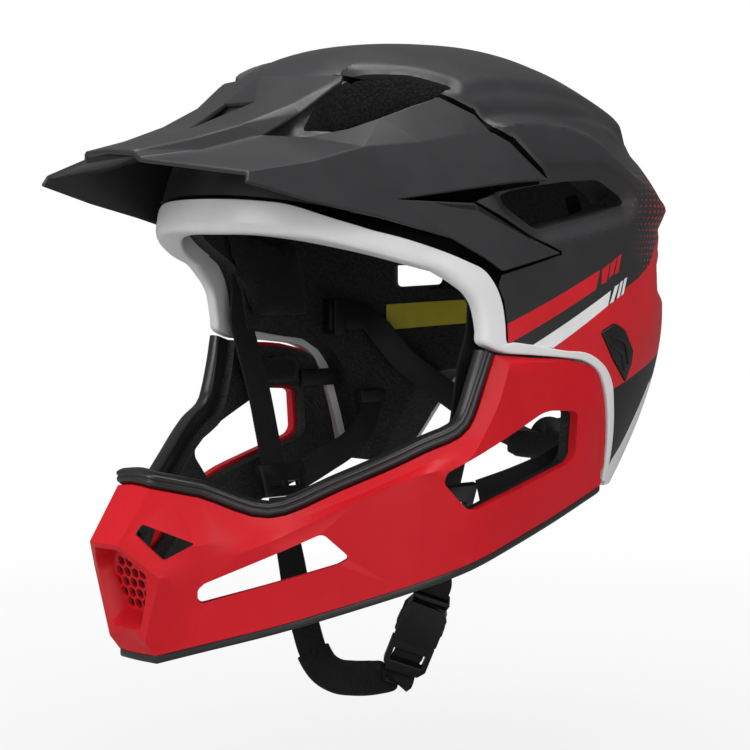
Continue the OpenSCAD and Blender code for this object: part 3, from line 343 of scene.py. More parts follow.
def relief(points):
    """How far the skin stands proud of its smooth base form, in mm."""
    x, y, z = points.T
    flat = np.stack((y, z), -1)
    upper, step, bright = (crease_side(points, name) for name in ("upper", "step", "bright"))
    gap, _, side = line_distance(flat, visor_seam)
    behind = np.where(side > 0, gap, -gap)
    # Three creases on each side, which fade out towards the back and the rim
    run = smooth((behind + 2) / 3) * smooth((100 - y) / 25) * smooth((z - 60) / 25)
    high = run * (1.8 * tent(upper, 26, 7) - 1.4 * tent(step + 1, 6, 5) + 2.3 * tent(bright, 6, 22))
    across_band = np.clip(-step / (bright - step + 1e-9), 0, 1)
    high = high - run * 1.2 * np.where((step < 0) & (bright > 0), np.sin(across_band * np.pi), 0)
    # The skin steps up just behind the visor's rear edge and sinks back gently
    high = high + (2.4 * np.where(np.abs(x) > 40, 1, 0) * smooth((behind - 0.5) / 4.5)
                   * (1 - smooth((behind - 6) / 34)) * smooth((z - 88) / 14))
    # A shelf that swells round the back, and a softer bulge above it
    wing = smooth((np.arctan2(np.abs(x), middle_y(z, 132) - y) - 1.75) / 0.45)
    shelf = 80 + 4 * smooth((y - 60) / 60)
    high = high + 6.0 * wing * tent(z - shelf, 30, 9)
    high = high + 2.6 * smooth((y - 52) / 25) * tent(z - 124, 26, 7)
    # A shallow groove below the shelf
    groove = np.abs(z - np.interp(y, (25, 60, 132), (66, 64, 62)))
    high = high - 1.4 * smooth((y - 45) / 30) * np.maximum(0, 1 - groove / 7)
    # Sloped lips round the vents, and a flat recess under the visor's wing
    lip = outline_distance(flat, side_vent)
    high = high - 5.5 * np.maximum(0, 1 - np.maximum(lip, 0) / 7.5) * smooth((np.abs(x) - 60) / 15)
    notch = outline_distance(flat, visor_notch)
    high = high - 2.2 * smooth(-notch / 1.5) * (np.abs(x) > 60)
    even = np.stack((np.abs(x), y, z), -1)
    for corners in far_vents.values():
        gap = vent_distance(even, corners)
        high = high - 2.4 * np.maximum(0, 1 - np.maximum(gap, 0) / 5)
    return high


def deselect():
    bpy.ops.object.select_all(action="DESELECT")


def pick(obj):
    deselect()
    bpy.context.view_layer.objects.active = obj
    obj.select_set(True)


def edit_whole(step, **settings):
    """One edit-mode step on the whole mesh of the picked piece."""
    bpy.ops.object.mode_set(mode="EDIT")
    bpy.ops.mesh.select_all(action="SELECT")
    step(**settings)
    bpy.ops.object.mode_set(mode="OBJECT")


def face_outwards():
    edit_whole(bpy.ops.mesh.normals_make_consistent, inside=False)


def apply_all(obj):
    pick(obj)
    for modifier in list(obj.modifiers):
        bpy.ops.object.modifier_apply(modifier=modifier.name)


def dome(name, size, segments, rings):
    """A ball of rings moved on to the helmet's base form."""
    deselect()
    bpy.ops.mesh.primitive_uv_sphere_add(segments=segments, ring_count=rings, radius=1)
    obj = bpy.context.object
    obj.name = name
    points = read_points(obj)
    f = np.linspace(0, np.pi / 2, 400)
    crown_z = widest_z + size[3] * np.sin(f) ** (2 / crown_power)
    z = np.concatenate((np.linspace(skirt_z, widest_z, 100)[:-1], crown_z))
    r = size[0] * girth(z, size[3])
    far = np.concatenate(([0], np.cumsum(np.hypot(np.diff(r), np.diff(z)))))
    share = np.arcsin(np.clip(points[:, 2], -1, 1)) / np.pi + 0.5
    angle = np.arctan2(points[:, 0], -points[:, 1])
    height = np.interp(share, far / far[-1], z)
    placed = ring_point(size, angle, height)
    pole = np.hypot(points[:, 0], points[:, 1]) < 1e-4
    placed[pole & (points[:, 2] > 0)] = (0, 0, widest_z + size[3])
    placed[pole & (points[:, 2] < 0)] = (0, widest_y, skirt_z)
    write_points(obj, placed)
    return obj


def sweep(name, sections):
    """A closed solid through a list of sections that have equally many points."""
    sections = np.asarray(sections, float)
    steps, count = sections.shape[:2]
    deselect()
    bpy.ops.mesh.primitive_circle_add(vertices=count, radius=1, fill_type="NGON")
    obj = bpy.context.object
    obj.name = name
    edit_whole(bpy.ops.mesh.extrude_repeat, steps=steps - 1, offset=(0, 0, 1))
    points = read_points(obj)
    turn = np.arctan2(points[:, 1], points[:, 0]) / (2 * np.pi) * count
    write_points(obj, sections[np.round(points[:, 2]).astype(int), np.round(turn).astype(int) % count])
    face_outwards()
    return obj


def side_prism(name, outline, x0, x1):
    outline = np.asarray(outline, float)
    low = np.column_stack((np.full(len(outline), x0), outline))
    high = np.column_stack((np.full(len(outline), x1), outline))
    return sweep(name, (low, high))


def vent_block(name, corners, side):
    centre, u, v, outline = vent_plane(corners)
    placed = centre + outline[:, :1] * u + outline[:, 1:] * v
    flip = np.array((side, 1, 1))
    low = (vent_heart + (placed - vent_heart) * 0.6) * flip
    high = (vent_heart + (placed - vent_heart) * 1.3) * flip
    return sweep(name, (low, high))


def combine(obj, blocks, operation="DIFFERENCE"):
    """Cuts the blocks out of a closed piece, joins them to it or keeps only what they share, in one go."""
    group = bpy.data.collections.new("blocks")
    bpy.context.scene.collection.children.link(group)
    for block in blocks:
        for owner in list(block.users_collection):
            owner.objects.unlink(block)
        group.objects.link(block)
    cut = obj.modifiers.new("cut", "BOOLEAN")
    cut.operation = operation
    cut.operand_type = "COLLECTION"
    cut.collection = group
    cut.solver = "MANIFOLD"
    apply_all(obj)
    for block in list(group.objects):
        bpy.data.objects.remove(block)
    bpy.data.collections.remove(group)


face_edge = [(-150, 91), (-133, 89.5), (-125, 88), (-118, 86), (-108, 80), (-94, 74), (-81, 70), (-68, 65),
             (-53, 59), (-45, 55), (-40, 49), (-36, 40), (-34, 29), (-33, 21), (-16, 19), (2, 16), (20, 13.5),
             (31, 7), (37, -1), (40, -12), (43, -29), (44, -41), (44.5, -53)]
nape_edge = [(74, -60), (73.5, -45), (72, -30), (70.5, -19), (68, -10), (64.5, -6), (58, -4), (44, -2.8), (30, -2)]
leaf = [(27, 24), (37, 28), (45.5, 24), (53, 14), (52, 7), (48, -1), (37, 10)]


def grown_outline(outline, by):
    """The closed outline moved outwards by a distance."""
    outline = np.asarray(outline, float)
    before, after = np.roll(outline, 1, 0), np.roll(outline, -1, 0)
    a, b = outline - before, after - outline
    a /= np.hypot(*a.T)[:, None]
    b /= np.hypot(*b.T)[:, None]
    turn = np.sign(np.sum(outline[:, 0] * after[:, 1] - after[:, 0] * outline[:, 1]))
    na, nb = np.stack((a[:, 1], -a[:, 0]), -1) * turn, np.stack((b[:, 1], -b[:, 0]), -1) * turn
    n = (na + nb) / np.maximum(1 + np.sum(na * nb, 1), 0.3)[:, None]
    return outline + n * by


def opening_blocks(leaf_gap, back_vent_share=1):
    face = [(-300, 91)] + face_edge + [(130, -53.5), (300, -53.5), (300, -300), (-300, -300)]
    blocks = [side_prism("face_block", face, -200, 200)]
    half = [(nape_edge[0][0], -200)] + nape_edge
    nape = half + [(-x, z) for x, z in half[::-1]]
    low = np.array([(x, 44, z) for x, z in nape])
    high = np.array([(x, 244, z) for x, z in nape])
    blocks.append(sweep("nape_block", (low, high)))
    for side in (-1, 1):
        blocks.append(side_prism("side_vent_block", side_vent, 60 * side, 140 * side))
        leaf_room = rounded(grown_outline(leaf, leaf_gap), 2.5)
        blocks.append(side_prism("leaf_block", leaf_room, 100 * side, 140 * side))
        for name, corners in far_vents.items():
            if name == "back_vent":
                corners = corners.mean(0) + (corners - corners.mean(0)) * back_vent_share
            blocks.append(vent_block("vent_block", corners, side))
    return blocks


def thicken(skin, thickness, even=False):
    """Gives a skin its wall, on the inner side."""
    wall = skin.modifiers.new("wall", "SOLIDIFY")
    wall.thickness = thickness
    wall.offset = -1
    wall.use_even_offset = even
    apply_all(skin)


shell = dome("shell_skin", shell_size, 400, 150)
base = read_points(shell)
write_points(shell, base + normals_of(shell) * relief(base)[:, None])
thicken(shell, shell_wall)
combine(shell, opening_blocks(0.5))


def finish_piece(obj, material, body, replaced, angle=35):
    """Sets a finished piece's scale, shading and material, and fixes it to the body that it moves with."""
    obj.data.transform(Matrix.Scale(mm, 4))
    obj.data.materials.clear()
    obj.data.materials.append(material)
    pick(obj)
    bpy.ops.object.shade_smooth_by_angle(angle=math.radians(angle))
    if body:
        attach(obj, body)
    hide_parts(*replaced)
    return obj


def new_material(name, colour, roughness, **plain):
    """A Principled material; plain values go straight on the shader's own sockets."""
    made = bpy.data.materials.new(name)
    made.use_nodes = True
    tree = made.node_tree
    shader = tree.nodes["Principled BSDF"]
    shader.inputs["Base Color"].default_value = (*colour, 1)
    shader.inputs["Roughness"].default_value = roughness
    for socket, value in plain.items():
        shader.inputs[socket.replace("_", " ")].default_value = value
    return made, tree, shader


def new_group(name, inputs, outputs):
    group = bpy.data.node_groups.new(name, "ShaderNodeTree")
    for label, kind, value in inputs:
        socket = group.interface.new_socket(label, in_out="INPUT", socket_type="NodeSocket" + kind)
        if value is not None:
            socket.default_value = value
    for label, kind in outputs:
        group.interface.new_socket(label, in_out="OUTPUT", socket_type="NodeSocket" + kind)
    return group, group.nodes.new("NodeGroupInput"), group.nodes.new("NodeGroupOutput")


# Fine moulded grain: a bump, a little unevenness in gloss and in tone
grain, grain_in, grain_out = new_group(
    "moulded_grain", [("Vector", "Vector", None), ("Size", "Float", 0.5), ("Depth", "Float", 0.05),
                      ("Roughness", "Float", 0.5), ("Colour", "Color", (0.5, 0.5, 0.5, 1)),
                      ("Unevenness", "Float", 0.1)],
    [("Colour", "Color"), ("Roughness", "Float"), ("Height", "Float")])
scaled = node(grain, "VectorMath", {0: grain_in.outputs["Vector"], 3: 1000.0}, operation="SCALE")
count = maths(grain, "DIVIDE", 1.0, grain_in.outputs["Size"])
fine = node(grain, "TexNoise", {"Vector": scaled.outputs[0], "Scale": count, "Detail": 3.0})
cloud = node(grain, "TexNoise", {"Vector": scaled.outputs[0], "Scale": 0.03, "Detail": 4.0, "Roughness": 0.6})
swing = ranged(grain, cloud.outputs[0], 0.3, 0.7, -1.0, 1.0)
part_rough = maths(grain, "MULTIPLY", swing, grain_in.outputs["Unevenness"])
rough = maths(grain, "ADD", grain_in.outputs["Roughness"], part_rough, use_clamp=True)
tone = maths(grain, "ADD", part_rough, 1.0)
coloured = node(grain, "VectorMath", {0: grain_in.outputs["Colour"], 3: tone}, operation="SCALE")
height = maths(grain, "MULTIPLY", fine.outputs[0], grain_in.outputs["Depth"])
grain.links.new(coloured.outputs[0], grain_out.inputs["Colour"])
grain.links.new(rough, grain_out.inputs["Roughness"])
grain.links.new(height, grain_out.inputs["Height"])


def moulded(name, colour, roughness, size=0.5, depth=0.05, unevenness=0.08, **plain):
    """Moulded or painted plastic: one colour with the fine grain on it."""
    material, tree, shader = new_material(name, colour, roughness, **plain)
    at = node(tree, "TexCoord")
    worked = node(tree, "Group", {"Vector": at.outputs["Object"], "Size": size, "Depth": depth,
                                  "Roughness": roughness, "Colour": (*colour, 1), "Unevenness": unevenness},
                  node_tree=grain)
    bump = node(tree, "Bump", {"Height": worked.outputs["Height"], "Distance": 0.001, "Strength": 1.0})
    tree.links.new(worked.outputs["Colour"], shader.inputs["Base Color"])
    tree.links.new(worked.outputs["Roughness"], shader.inputs["Roughness"])
    tree.links.new(bump.outputs[0], shader.inputs["Normal"])
    return material, tree, shader, worked


paint_black = (0.024, 0.024, 0.026)
paint_red = (0.62, 0.010, 0.018)
paint_white = (0.80, 0.80, 0.81)
red_stripe = [(-34, 29), (26.3, 54.3), (23.1, 44.9), (-31, 20.5), (-34, 22)]
white_stripe = [(-19, 18.6), (34, 44.2), (31.8, 36.8), (20, 30.6), (-4.5, 17.5)]
red_slashes = [[(28.0, 54.5), (33.6, 57.6), (30.6, 48.1), (26.9, 47.4)],
               [(34.4, 57.3), (39.1, 60.2), (35.9, 52.0), (32.4, 50.1)],
               [(39.9, 60.5), (43.2, 62.0), (40.0, 53.0), (37.2, 51.9)]]
white_slashes = [[(37.0, 46.1), (40.2, 47.3), (36.1, 38.9), (33.1, 37.6)],
                 [(41.4, 48.0), (43.7, 49.1), (40.6, 41.0), (38.3, 40.0)],
                 [(44.7, 49.6), (47.1, 50.4), (44.0, 42.4), (41.7, 41.4)]]
red_below = [(-45, -3), (-4.5, 17.5), (20, 30.6), (31.8, 36.8), (43.9, 42.6), (46.8, 45.6), (57.5, 49.9),
             (69.4, 56), (76.6, 60.4), (88, 67), (104, 74), (133, 78)]
black_below = [(-45, -40), (30, -7), (39.5, -3.8), (49.6, -0.6), (60.1, 3.1), (71.6, 6.5), (90, 11.2),
               (110, 18), (133, 24)]
white_below = [(-45, -61), (41, -50), (42.8, -47.1), (46.4, -40.2), (53.7, -33.1), (64.5, -19.7), (78, -4),
               (96, 3), (133, 4)]

# The group gives the printed colour with the painted gap shade in it, and the mask of that painted shade
graphics, graphics_in, graphics_out = new_group("shell_graphics", [("Vector", "Vector", None)],
                                                [("Colour", "Color"), ("Gap", "Float")])


def side_on(tree, place):
    """A place in mm: x, y and z, and the flat point (y, z, 1) that the stencils read."""
    scaled = node(tree, "VectorMath", {0: place, 3: 1000.0}, operation="SCALE")
    x, y, z = node(tree, "SeparateXYZ", {0: scaled.outputs[0]}).outputs
    return x, y, z, node(tree, "CombineXYZ", {0: y, 1: z, 2: 1.0}).outputs[0]


def stencil(tree, at, outline):
    """1 inside a convex outline and 0 outside it."""
    outline = np.asarray(outline, float)
    centre = outline.mean(0)
    inside = None
    for a, b in zip(outline, np.roll(outline, -1, 0)):
        n = np.array((b[1] - a[1], a[0] - b[0]))
        n /= np.hypot(*n)
        n *= np.sign(n @ (centre - a))
        edge = node(tree, "VectorMath", {0: at, 1: (n[0], n[1], -(n @ a))},
                    operation="DOT_PRODUCT").outputs["Value"]
        inside = edge if inside is None else maths(tree, "MINIMUM", inside, edge)
    return ranged(tree, inside, -0.08, 0.08, 0.0, 1.0)


def below_line(tree, y, z, line):
    """1 below a line drawn as height over depth, and 0 above it."""
    low, high, front, rear = -100.0, 120.0, -45.0, 133.0
    curve = node(tree, "FloatCurve", {"Value": ranged(tree, y, front, rear, 0.0, 1.0)})
    points = curve.mapping.curves[0].points
    placed = [((a - front) / (rear - front), (b - low) / (high - low)) for a, b in line]
    points[0].location, points[1].location = placed[0], placed[-1]
    for p in placed[1:-1]:
        points.new(*p)
    for p in points:
        p.handle_type = "VECTOR"
    curve.mapping.update()
    edge = ranged(tree, curve.outputs[0], 0.0, 1.0, low, high)
    return ranged(tree, maths(tree, "SUBTRACT", edge, z), -0.1, 0.1, 0.0, 1.0)


# Lines along which shade is painted, in the gaps beside the visor, along the white rim and beside the visor's fins
visor_gap_shade_line = [(-79, 146), (-61.6, 141.4), (-47.2, 138), (-33.4, 129.8), (-28.3, 121.2), (-19.4, 116.2),
                  (-11, 106.8), (-3, 98.8)]
rim_gap_shade_line = [(-53, 60), (-44.5, 56), (-39.2, 49.7), (-35.2, 40.3), (-33.3, 29), (-32.6, 20)]
fin_gap_shade_line = [(-48, 87.2), (-19.2, 71.3), (-0.4, 62.8), (-36, 53.6)]


def drawn_line(tree, at, line, width):
    """1 on a run of straight strokes and 0 beside it."""
    drawn = None
    for a, b in zip(np.array(line[:-1], float), np.array(line[1:], float)):
        along = (b - a) / np.hypot(*(b - a)) * width / 2
        off = np.array((-along[1], along[0]))
        stroke = stencil(tree, at, [a - along + off, b + along + off, b + along - off, a - along - off])
        drawn = stroke if drawn is None else maths(tree, "MAXIMUM", drawn, stroke)
    return drawn


def painted_over(tree, under, mask, colour):
    return node(tree, "Mix", {0: mask, 6: under, 7: (*colour, 1)}, data_type="RGBA").outputs[2]


x, y, z, flat = side_on(graphics, graphics_in.outputs["Vector"])
colour = node(graphics, "RGB").outputs[0]
colour.default_value = (*paint_black, 1)
# Rows of dots fade from the red side into the black
round_back = maths(graphics, "ARCTAN2", maths(graphics, "ABSOLUTE", x), maths(graphics, "SUBTRACT", y, 25.0))
slide = maths(graphics, "ADD", maths(graphics, "MULTIPLY", round_back, 95.0), maths(graphics, "MULTIPLY", z, 0.45))
cell = []
for value, pitch in ((slide, 3.4), (z, 3.0)):
    part = maths(graphics, "FRACT", maths(graphics, "DIVIDE", value, pitch))
    cell.append(maths(graphics, "MULTIPLY", maths(graphics, "SUBTRACT", part, 0.5), pitch))
spot = node(graphics, "VectorMath", {0: node(graphics, "CombineXYZ", {0: cell[0], 1: cell[1]}).outputs[0]},
            operation="LENGTH")
spot_size = maths(graphics, "MULTIPLY", ranged(graphics, y, 52.0, 90.0, 0.0, 1.25),
                  ranged(graphics, z, 112.0, 82.0, 0.0, 1.0))
dots = ranged(graphics, maths(graphics, "SUBTRACT", spot_size, spot.outputs["Value"]), -0.12, 0.12, 0.0, 1.0)
# Painted shade in the gaps of the skin: beside the visor, beside its fins, along the white rim and under the
# visor's edge
gap_shade_strokes = ((visor_gap_shade_line, 2.8), (fin_gap_shade_line, 2.2), (rim_gap_shade_line, 1.6))
gap_shade_shapes = (visor_notch, [(-36, 91), (-4, 95.5), (-4, 97.8), (-24, 97.5)],
              [(-160, 100), (-100, 82.5), (-100, 60), (-160, 80)],
              [(-101, 82), (-61, 72), (-44, 63), (-34.5, 56), (-40, 40), (-101, 60)])
gap_shades = [drawn_line(graphics, flat, line, width) for line, width in gap_shade_strokes]
gap_shades += [stencil(graphics, flat, outline) for outline in gap_shade_shapes]
gap = gap_shades[0]
for other in gap_shades[1:]:
    gap = maths(graphics, "MAXIMUM", gap, other)
# Each print covers the ones before it, and last of all the painted gap shade covers them
# The near-black of the painted shade in the skin's gaps and on the visor's fin steps
painted_shade_black = (0.002, 0.002, 0.002)
prints_and_shade = [(dots, (0.42, 0.014, 0.022)), (below_line(graphics, y, z, red_below), paint_red)]
prints_and_shade += [(stencil(graphics, flat, outline), paint_red) for outline in [red_stripe] + red_slashes]
prints_and_shade += [(stencil(graphics, flat, outline), paint_white) for outline in [white_stripe] + white_slashes]
prints_and_shade += [(below_line(graphics, y, z, black_below), (0.012, 0.012, 0.013)),
           (below_line(graphics, y, z, white_below), paint_white), (gap, painted_shade_black)]
for mask, paint in prints_and_shade:
    colour = painted_over(graphics, colour, mask, paint)
graphics.links.new(colour, graphics_out.inputs["Colour"])
graphics.links.new(gap, graphics_out.inputs["Gap"])

shell_paint, tree, shader, worked = moulded("shell_paint", paint_black, 0.44, 0.45, 0.03,
                                            Specular_IOR_Level=0.4)
at = node(tree, "TexCoord")
print_on = node(tree, "Group", {"Vector": at.outputs["Object"]}, node_tree=graphics)
tree.links.new(print_on.outputs["Colour"], worked.inputs["Colour"])
# Where gap shade is painted, a near-black metal gives back hardly any light, as a deep gap does
tree.links.new(print_on.outputs["Gap"], shader.inputs["Metallic"])
finish_piece(shell, shell_paint, "helmet", ["shell"], 32)


# Foam liner.
# Moulded black foam that fills the space between the skin and the head, with the vents carried right through it.
# Its surface shows the fused beads that it is made of.
skin_clear = 0.15
leaf_clear, back_vent_share = 1.0, 0.6
foam = dome("foam_liner", foam_size, 256, 100)
points = read_points(foam)
write_points(foam, points + normals_of(foam) * (relief(points) - skin_clear)[:, None])
cavity = dome("cavity_block", cavity_size, 160, 60)
combine(foam, opening_blocks(leaf_clear, back_vent_share) + [cavity])


def dressed(tree, shader, low, high, share, height, distance):
    """Mixes two tones by a share and presses the height into the surface."""
    bump = node(tree, "Bump", {"Height": height, "Distance": distance, "Strength": 0.7})
    tree.links.new(painted_over(tree, (*low, 1), share, high), shader.inputs["Base Color"])
    tree.links.new(bump.outputs[0], shader.inputs["Normal"])


foam_black, tree, shader = new_material("bead_foam", (0.016, 0.016, 0.017), 0.72)
at = node(tree, "TexCoord")
# Bead tone varies at random, and each bead is painted lighter at its middle and darker at its edge, a painted
# shade between the beads
beads = node(tree, "TexVoronoi", {"Vector": at.outputs["Object"], "Scale": 620.0}, feature="F1")
fused = ranged(tree, beads.outputs["Distance"], 0.15, 0.75, 1.0, 0.0)
mottle = node(tree, "TexNoise", {"Vector": at.outputs["Object"], "Scale": 900.0, "Detail": 2.0})
speck_and_bead_shade = maths(tree, "MULTIPLY", fused, mottle.outputs[0])
dressed(tree, shader, (0.005, 0.005, 0.005), (0.036, 0.036, 0.038), speck_and_bead_shade, fused, 0.0004)
finish_piece(foam, foam_black, "helmet", ["liner"], 32)


# Face trim.
# A white rim, moulded in one piece, that covers the foam's edge round the face and down to the latches.
# Its front turns inwards in a soft curve and it stands a little proud of the shell.
trim_proud = 0.8
trim_depth = 13
trim_in = [(-150, 73), (-128, 72), (-115, 71), (-102, 66.5), (-87, 61.5), (-63, 53.5)]
trim_brow = [((0, 89), (0, 72.5)), ((22, 88.5), (22, 72.5)), ((35, 87.5), (33, 72.4)), ((46, 86), (43, 72)),
             ((54, 84), (50, 71.2)), ((61, 81.5), (57, 70)), ((68, 79), (64, 68)), ((74, 76), (70, 66.4)),
             ((80, 73.5), (76, 64)), ((85, 71.5), (82, 61)), ((90, 69), (88, 57.5))]
trim_side = [((-66, 64.5), (-66, 54.5)), ((-53, 59), (-58, 49)), ((-45, 55), (-52, 44)), ((-40, 49), (-48.5, 39)),
             ((-36, 40), (-46.5, 32)), ((-34, 29), (-45.5, 26)), ((-33, 21), (-44.5, 20.6)),
             ((-29, 20.8), (-37, 17)),
             ((-16, 19), (-18, 14.5)), ((2, 16), (1, 12.7)), ((20, 13.5), (18, 9.8)), ((31, 7), (27, 4.5)),
             ((37, -1), (32, -3.5)), ((40, -12), (35, -12.5)), ((43, -29), (38.5, -29)), ((44, -41), (40, -41)),
             ((44.5, -51), (40.5, -50))]


def front_y(size, x, z):
    share = np.abs(x) / (size[0] * girth(z, size[3]))
    reach = size[1] * girth(z, size[3]) * np.maximum(0, 1 - share ** plan_power) ** (1 / plan_power)
    return middle_y(z, size[3]) - reach


def on_edge(size, x, z, edge):
    for _ in range(4):
        z = np.interp(front_y(size, x, z), *np.array(edge, float).T)
    return np.array((x, front_y(size, x, z), z))


def flowing(points, steps, sharp=()):
    """More points along a smooth curve through the given ones, with a corner at the sharp ones."""
    points = np.asarray(points, float)
    flat = points.reshape(len(points), -1)
    gap = np.maximum(np.linalg.norm(np.diff(flat, axis=0), axis=1), 1e-9)
    slope = np.diff(flat, axis=0) / gap[:, None]
    made = []
    for i in range(len(gap)):
        start = end = slope[i]
        if i > 0 and i not in sharp:
            start = (slope[i - 1] * gap[i] + slope[i] * gap[i - 1]) / (gap[i] + gap[i - 1])
        if i + 1 < len(gap) and i + 1 not in sharp:
            end = (slope[i] * gap[i + 1] + slope[i + 1] * gap[i]) / (gap[i] + gap[i + 1])
        for t in np.arange(steps) / steps:
            made.append((2 * t ** 3 - 3 * t ** 2 + 1) * flat[i] + (t ** 3 - 2 * t ** 2 + t) * gap[i] * start
                        + (3 * t ** 2 - 2 * t ** 3) * flat[i + 1] + (t ** 3 - t ** 2) * gap[i] * end)
    made.append(flat[-1])
    return np.array(made).reshape(-1, *points.shape[1:])


def mirrored(points):
    return np.asarray(points, float) * (-1, 1, 1)


face_size = shell_size + trim_proud
depths = np.interp(np.arange(len(trim_brow) + len(trim_side)), (0, 5, 13),
                   (trim_depth, trim_depth, 0.55 * trim_depth))
sections = [[on_edge(face_size, *outer, face_edge), on_edge(face_size, *inner, trim_in),
             on_edge(shell_size - depth, *inner, trim_in), on_edge(shell_size - depth, *outer, face_edge)]
            for (outer, inner), depth in zip(trim_brow, depths)]
for (outer, inner), depth in zip(trim_side, depths[len(trim_brow):]):
    sections.append([np.array((side_x(size, *p), *p)) for size, p in
                     ((face_size, outer), (face_size, inner), (shell_size - depth, inner),
                      (shell_size - depth, outer))])
sections = flowing(sections, 5)
corner_radius = np.interp(np.arange(len(sections)), (0, 80, 95, len(sections)), (6, 5, 1.2, 1.2))
sections = np.array([rounded(s, (0.7, r, r * 0.6, 0.5), 5) for s, r in zip(sections, corner_radius)])
trim = sweep("face_trim_rim", np.concatenate((mirrored(sections[:0:-1]), sections)))
trim_white = moulded("trim_white", (0.78, 0.78, 0.79), 0.33, 0.6, 0.012, 0.05)[0]
finish_piece(trim, trim_white, "helmet", ["face_trim"], 50)


# Blank label.
# A yellow laminated slip stuck to the foam at the far side; it carries nothing.
label_paper = moulded("label_paper", (0.62, 0.53, 0.015), 0.5, 0.25, 0.01, 0.1)[0]
cad["label"].data.materials.clear()
cad["label"].data.materials.append(label_paper)


# Fittings in the foam.
# Small black nylon parts that hold the straps, the fit band, the visor's pegs and the latch tongues.
# Each comes from the frame's own solid with its edges broken.
nylon = moulded("black_nylon", (0.009, 0.009, 0.0095), 0.4, 0.35, 0.03, 0.08,
                                      Specular_IOR_Level=0.35)[0]


def merged_piece(name, mesh, near):
    """A piece from a mesh, with points closer than near made one and its outer side facing out."""
    obj = bpy.data.objects.new(name, mesh)
    bpy.context.scene.collection.objects.link(obj)
    pick(obj)
    edit_whole(bpy.ops.mesh.remove_doubles, threshold=near)
    face_outwards()
    return obj


def node_copy(name, as_name):
    """A merged copy of a frame solid, in mm, with its outer side facing out."""
    mesh = cad[name].data.copy()
    mesh.transform(Matrix.Scale(1 / mm, 4))
    return merged_piece(as_name, mesh, 0.001)


def broken_edges(obj, width, segments=2, angle=30):
    pick(obj)
    edit_whole(bpy.ops.mesh.dissolve_limited, angle_limit=math.radians(1.5))
    bevel = obj.modifiers.new("edges", "BEVEL")
    bevel.width = width
    bevel.segments = segments
    bevel.limit_method = "ANGLE"
    bevel.angle_limit = math.radians(angle)
    bevel.use_clamp_overlap = True
    apply_all(obj)
    return obj


def fitting(name, width, body="helmet", material=nylon, angle=30):
    obj = broken_edges(node_copy(name, name + "_piece"), width, angle=angle)
    return finish_piece(obj, material, body, [name])


for name in ("latch_housings", "visor_sockets", "strap_anchors", "band_guides"):
    fitting(name, 0.4)


# Visor.
# A matt black peak moulded from sharp facets, with a raised spine and open slots beside it.
# It slides on two pegs, and its rear edges lie flush with the shell's creases.
visor_points = [
    (0, -186, 111), (19, -185, 110), (0, -159, 117.5), (25, -158, 115.5), (0, -138, 121.5), (31, -131, 123),
    (11, -103, 134.5), (37, -104, 133.5), (0, -90, 148), (43, -77, 147), (22, -183, 106.5), (28, -152, 110.5),
    (36, -122, 118), (40, -101, 128.5), (44.5, -79, 143.5), (78, -166, 100), (80, -133, 104.5),
    (81, -100, 112), (84.5, -67, 114.6), (86.3, -34.6, 128.3), (50, -109, 117), (61.5, -91, 121),
    (68.5, -78, 126), (73, -62, 132), (76.2, -47.9, 136.5), (81.9, -40.9, 132.1), (80, -168, 95.5),
    (86.5, -135, 87), (93.5, -101, 80), (100, -62, 70), (104.9, -44.8, 60.7), (107.5, -36, 54.5),
    (111.7, -1.9, 62.7), (91.9, -87.9, 88), (101.9, -48.9, 86.3), (103, -24.4, 96.3), (92.3, -29.9, 120),
    (96.4, -21, 115), (101.5, -12.7, 105.6), (105.1, -4.2, 97.5), (109.1, -19.7, 69.9), (88.5, -43, 119),
    (-11, -103, 134.5), (98.6, -47.3, 81.6)]
visor_faces = [
    (0, 1, 3), (0, 3, 2), (2, 3, 5), (2, 5, 4), (4, 5, 7), (4, 7, 6), (6, 7, 9), (6, 9, 8), (6, 8, 42),
    (1, 10, 11), (1, 11, 3), (3, 11, 12), (3, 12, 5), (5, 12, 13), (5, 13, 7), (7, 13, 14), (7, 14, 9),
    (10, 15, 16), (10, 16, 11), (11, 16, 12), (12, 16, 20), (20, 16, 17), (20, 17, 21), (21, 17, 22),
    (22, 17, 18), (22, 18, 23), (23, 18, 24), (24, 18, 25), (25, 18, 41), (25, 41, 19),
    (15, 26, 27), (15, 27, 16), (16, 27, 28), (16, 28, 17), (17, 28, 33), (28, 29, 33), (33, 29, 43),
    (29, 30, 43), (30, 31, 43), (31, 40, 43), (31, 32, 40), (33, 43, 34), (34, 43, 40), (17, 33, 18),
    (33, 35, 18), (18, 35, 41), (41, 35, 36), (35, 37, 36), (35, 38, 37), (35, 39, 38), (41, 36, 19)]
visor_wall = 2.4
visor_gap = 0.4


def cleared(point):
    """A corner that would lie in the shell moves out until the visor's wall clears it."""
    x, y, z = point
    room = shell_size + visor_wall + visor_gap
    if z >= widest_z + room[3] - 1:
        return point
    dy = y - middle_y(z, room[3])
    share = max(0.05, float((abs(x) / (room[0] * girth(z, room[3]))) ** plan_power
                            + (abs(dy) / depth_reach(room, z, dy > 0)) ** plan_power) ** (1 / plan_power))
    return point if share >= 1 else (x / share, middle_y(z, room[3]) + dy / share, z)


def visor_skin(name):
    """The visor's outer faces, the left half and its mirror image."""
    half = np.array([cleared(p) for p in visor_points], float)
    points = np.concatenate((half, mirrored(half)))
    n = len(half)
    faces = visor_faces + [tuple(n + i for i in reversed(f)) for f in visor_faces]
    mesh = bpy.data.meshes.new(name)
    mesh.from_pydata(points.tolist(), [], faces)
    return merged_piece(name, mesh, 0.01)


